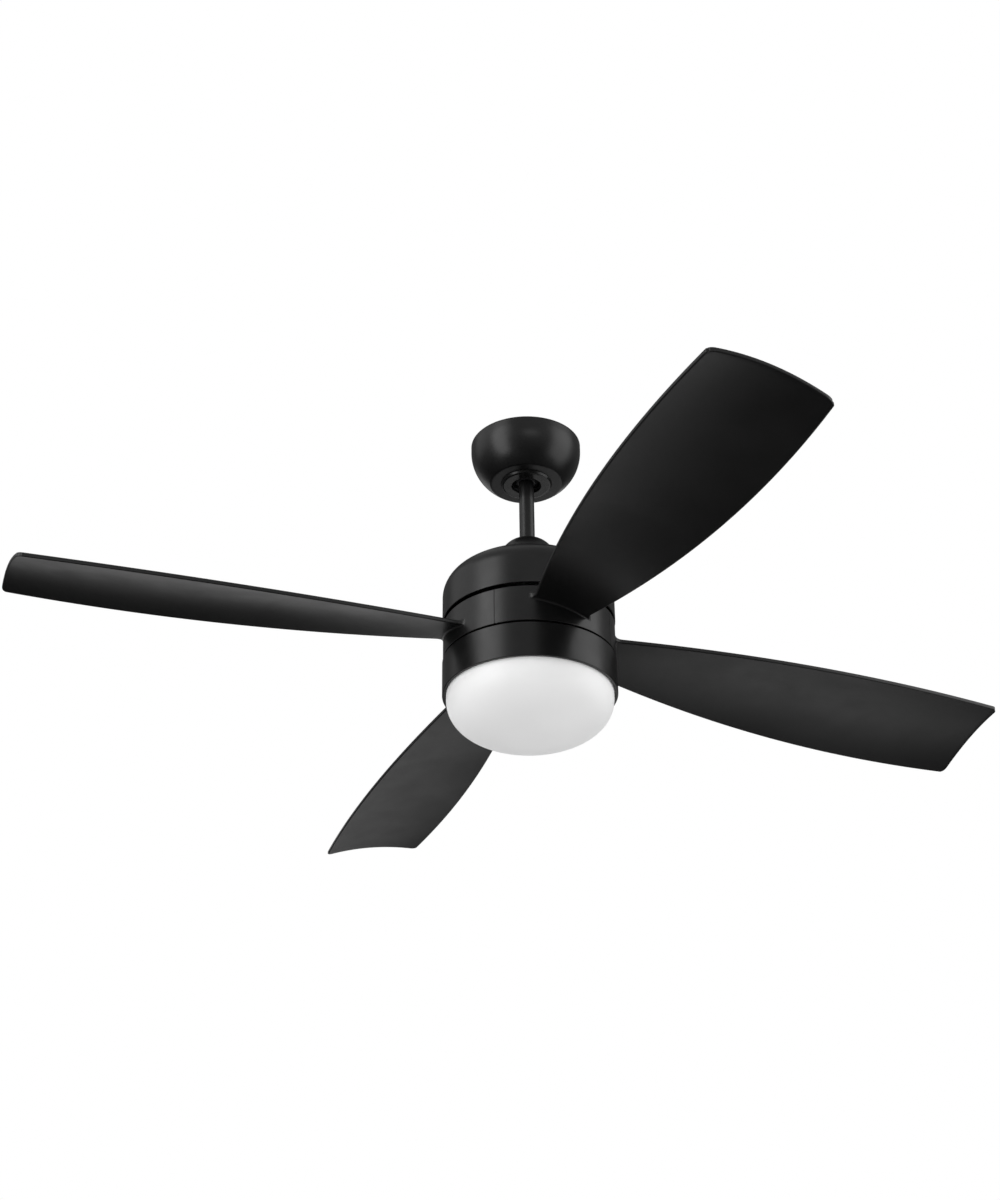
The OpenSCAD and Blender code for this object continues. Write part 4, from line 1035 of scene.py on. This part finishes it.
def makeRoom():
    s = roomSetting
    bm = bmesh.new()
    bmesh.ops.create_circle(bm, cap_ends=True, segments=128, radius=s["wide"] / 2,
                            matrix=Matrix.Translation((0, 0, s["floor"])))
    paleFloor = solidFinish("pale floor", (0.812, 0.812, 0.812), (0.828, 0.828, 0.828), (0.6, 0.7),
                            {"scale": 30, "strength": 0.05, "depth": 0.0005}, 1)
    floor = pieceFrom("floor", bm, [paleFloor])
    floor.visible_glossy = False
    world = bpy.data.worlds.new("white room")
    bpy.context.scene.world = world
    world.use_nodes = True
    tree = world.node_tree
    tree.nodes.clear()
    out = tree.nodes.new("ShaderNodeOutputWorld")
    skies = [tree.nodes.new("ShaderNodeBackground") for _ in range(3)]
    for sky, strength in zip(skies, (s["soft"], 0, s["backdrop"])):
        sky.inputs["Color"].default_value = (1, 1, 1, 1)
        sky.inputs["Strength"].default_value = strength
    coords, parts = tree.nodes.new("ShaderNodeTexCoord"), tree.nodes.new("ShaderNodeSeparateXYZ")
    tree.links.new(coords.outputs["Generated"], parts.inputs[0])
    upward = between(tree, parts.outputs["Z"], s["reflectedLow"], s["reflectedHigh"], -0.35, 0.15)
    backward = between(tree, parts.outputs["Y"], 1, s["reflectedBack"], -0.1, 0.4)
    # what gloss sees: a dim room, lighter above and in front
    reflected = tree.nodes.new("ShaderNodeMath")
    reflected.operation = "MULTIPLY"
    tree.links.new(upward, reflected.inputs[0])
    tree.links.new(backward, reflected.inputs[1])
    tree.links.new(reflected.outputs[0], skies[1].inputs["Strength"])
    paths = tree.nodes.new("ShaderNodeLightPath")
    shade = skies[0].outputs[0]
    for sky, ray in ((skies[1], "Is Glossy Ray"), (skies[2], "Is Camera Ray")):
        mix = tree.nodes.new("ShaderNodeMixShader")
        tree.links.new(paths.outputs[ray], mix.inputs[0])
        tree.links.new(shade, mix.inputs[1])
        tree.links.new(sky.outputs[0], mix.inputs[2])
        shade = mix.outputs[0]
    tree.links.new(shade, out.inputs["Surface"])
    bpy.context.scene.view_settings.view_transform = "Standard"


# Each light: place and aim in metres, width, height, watts, and what it is seen by
lights = {
    "left softbox": {"at": (-1.75, -1.3, -0.1), "aim": (0, 0, -0.3), "size": (1.2, 3.0), "watts": 25},
    "left back softbox": {"at": (-2.4, 0.45, 1.0), "aim": (0, 0, -0.2), "size": (1.8, 1.8), "watts": 4.5},
    "right softbox": {"at": (2.15, -0.45, -0.1), "aim": (0, 0, -0.3), "size": (1.9, 3.0), "watts": 24},
    "front card": {"at": (0.5, -2.7, 0.22), "aim": (0, 0, 0), "size": (1.3, 0.45), "watts": 2.3},
    "floor softbox": {"at": (0.85, 1.8, -2.3), "aim": (0, 0, -0.3), "size": (1.0, 1.0), "watts": 3.4,
                      "diffuse": False},
    "low back card": {"at": (0.36, 2.75, -1.4), "aim": (0, 0, -0.3), "size": (1.25, 1.3), "watts": 2.6,
                      "diffuse": False},
    "back card": {"at": (-0.4, 3.2, 0.25), "aim": (0, 0, -0.3), "size": (3.4, 1.5), "watts": 11,
                  "diffuse": False},
    "overhead": {"at": (-0.4, 0.5, 2.6), "aim": (0, 0, 0), "size": (2.2, 2.2), "watts": 4},
    "front fill": {"at": (0, -3.2, -1.0), "aim": (0, 0, -0.43), "size": (2.5, 1.5), "watts": 7,
                   "gloss": False},
    "left fill": {"at": (-3, 0.3, -0.9), "aim": (0, 0, -0.43), "size": (1.5, 1.5), "watts": 7,
                  "gloss": False},
    "right fill": {"at": (3, 0.3, -0.9), "aim": (0, 0, -0.43), "size": (1.5, 1.5), "watts": 5,
                   "gloss": False},
}


def makeLights():
    for name, s in lights.items():
        data = bpy.data.lights.new(name, "AREA")
        data.shape = "RECTANGLE"
        data.size, data.size_y = s["size"]
        data.energy = s["watts"]
        light = bpy.data.objects.new(name, data)
        light.location = s["at"]
        light.rotation_euler = (Vector(s["aim"]) - Vector(s["at"])).to_track_quat("-Z", "Y").to_euler()
        light.visible_glossy = s.get("gloss", True)
        light.visible_diffuse = s.get("diffuse", True)
        light.visible_camera = False
        bpy.context.scene.collection.objects.link(light)


makeCamera()
makeRoom()
makeLights()
print("camera, room and lights set")
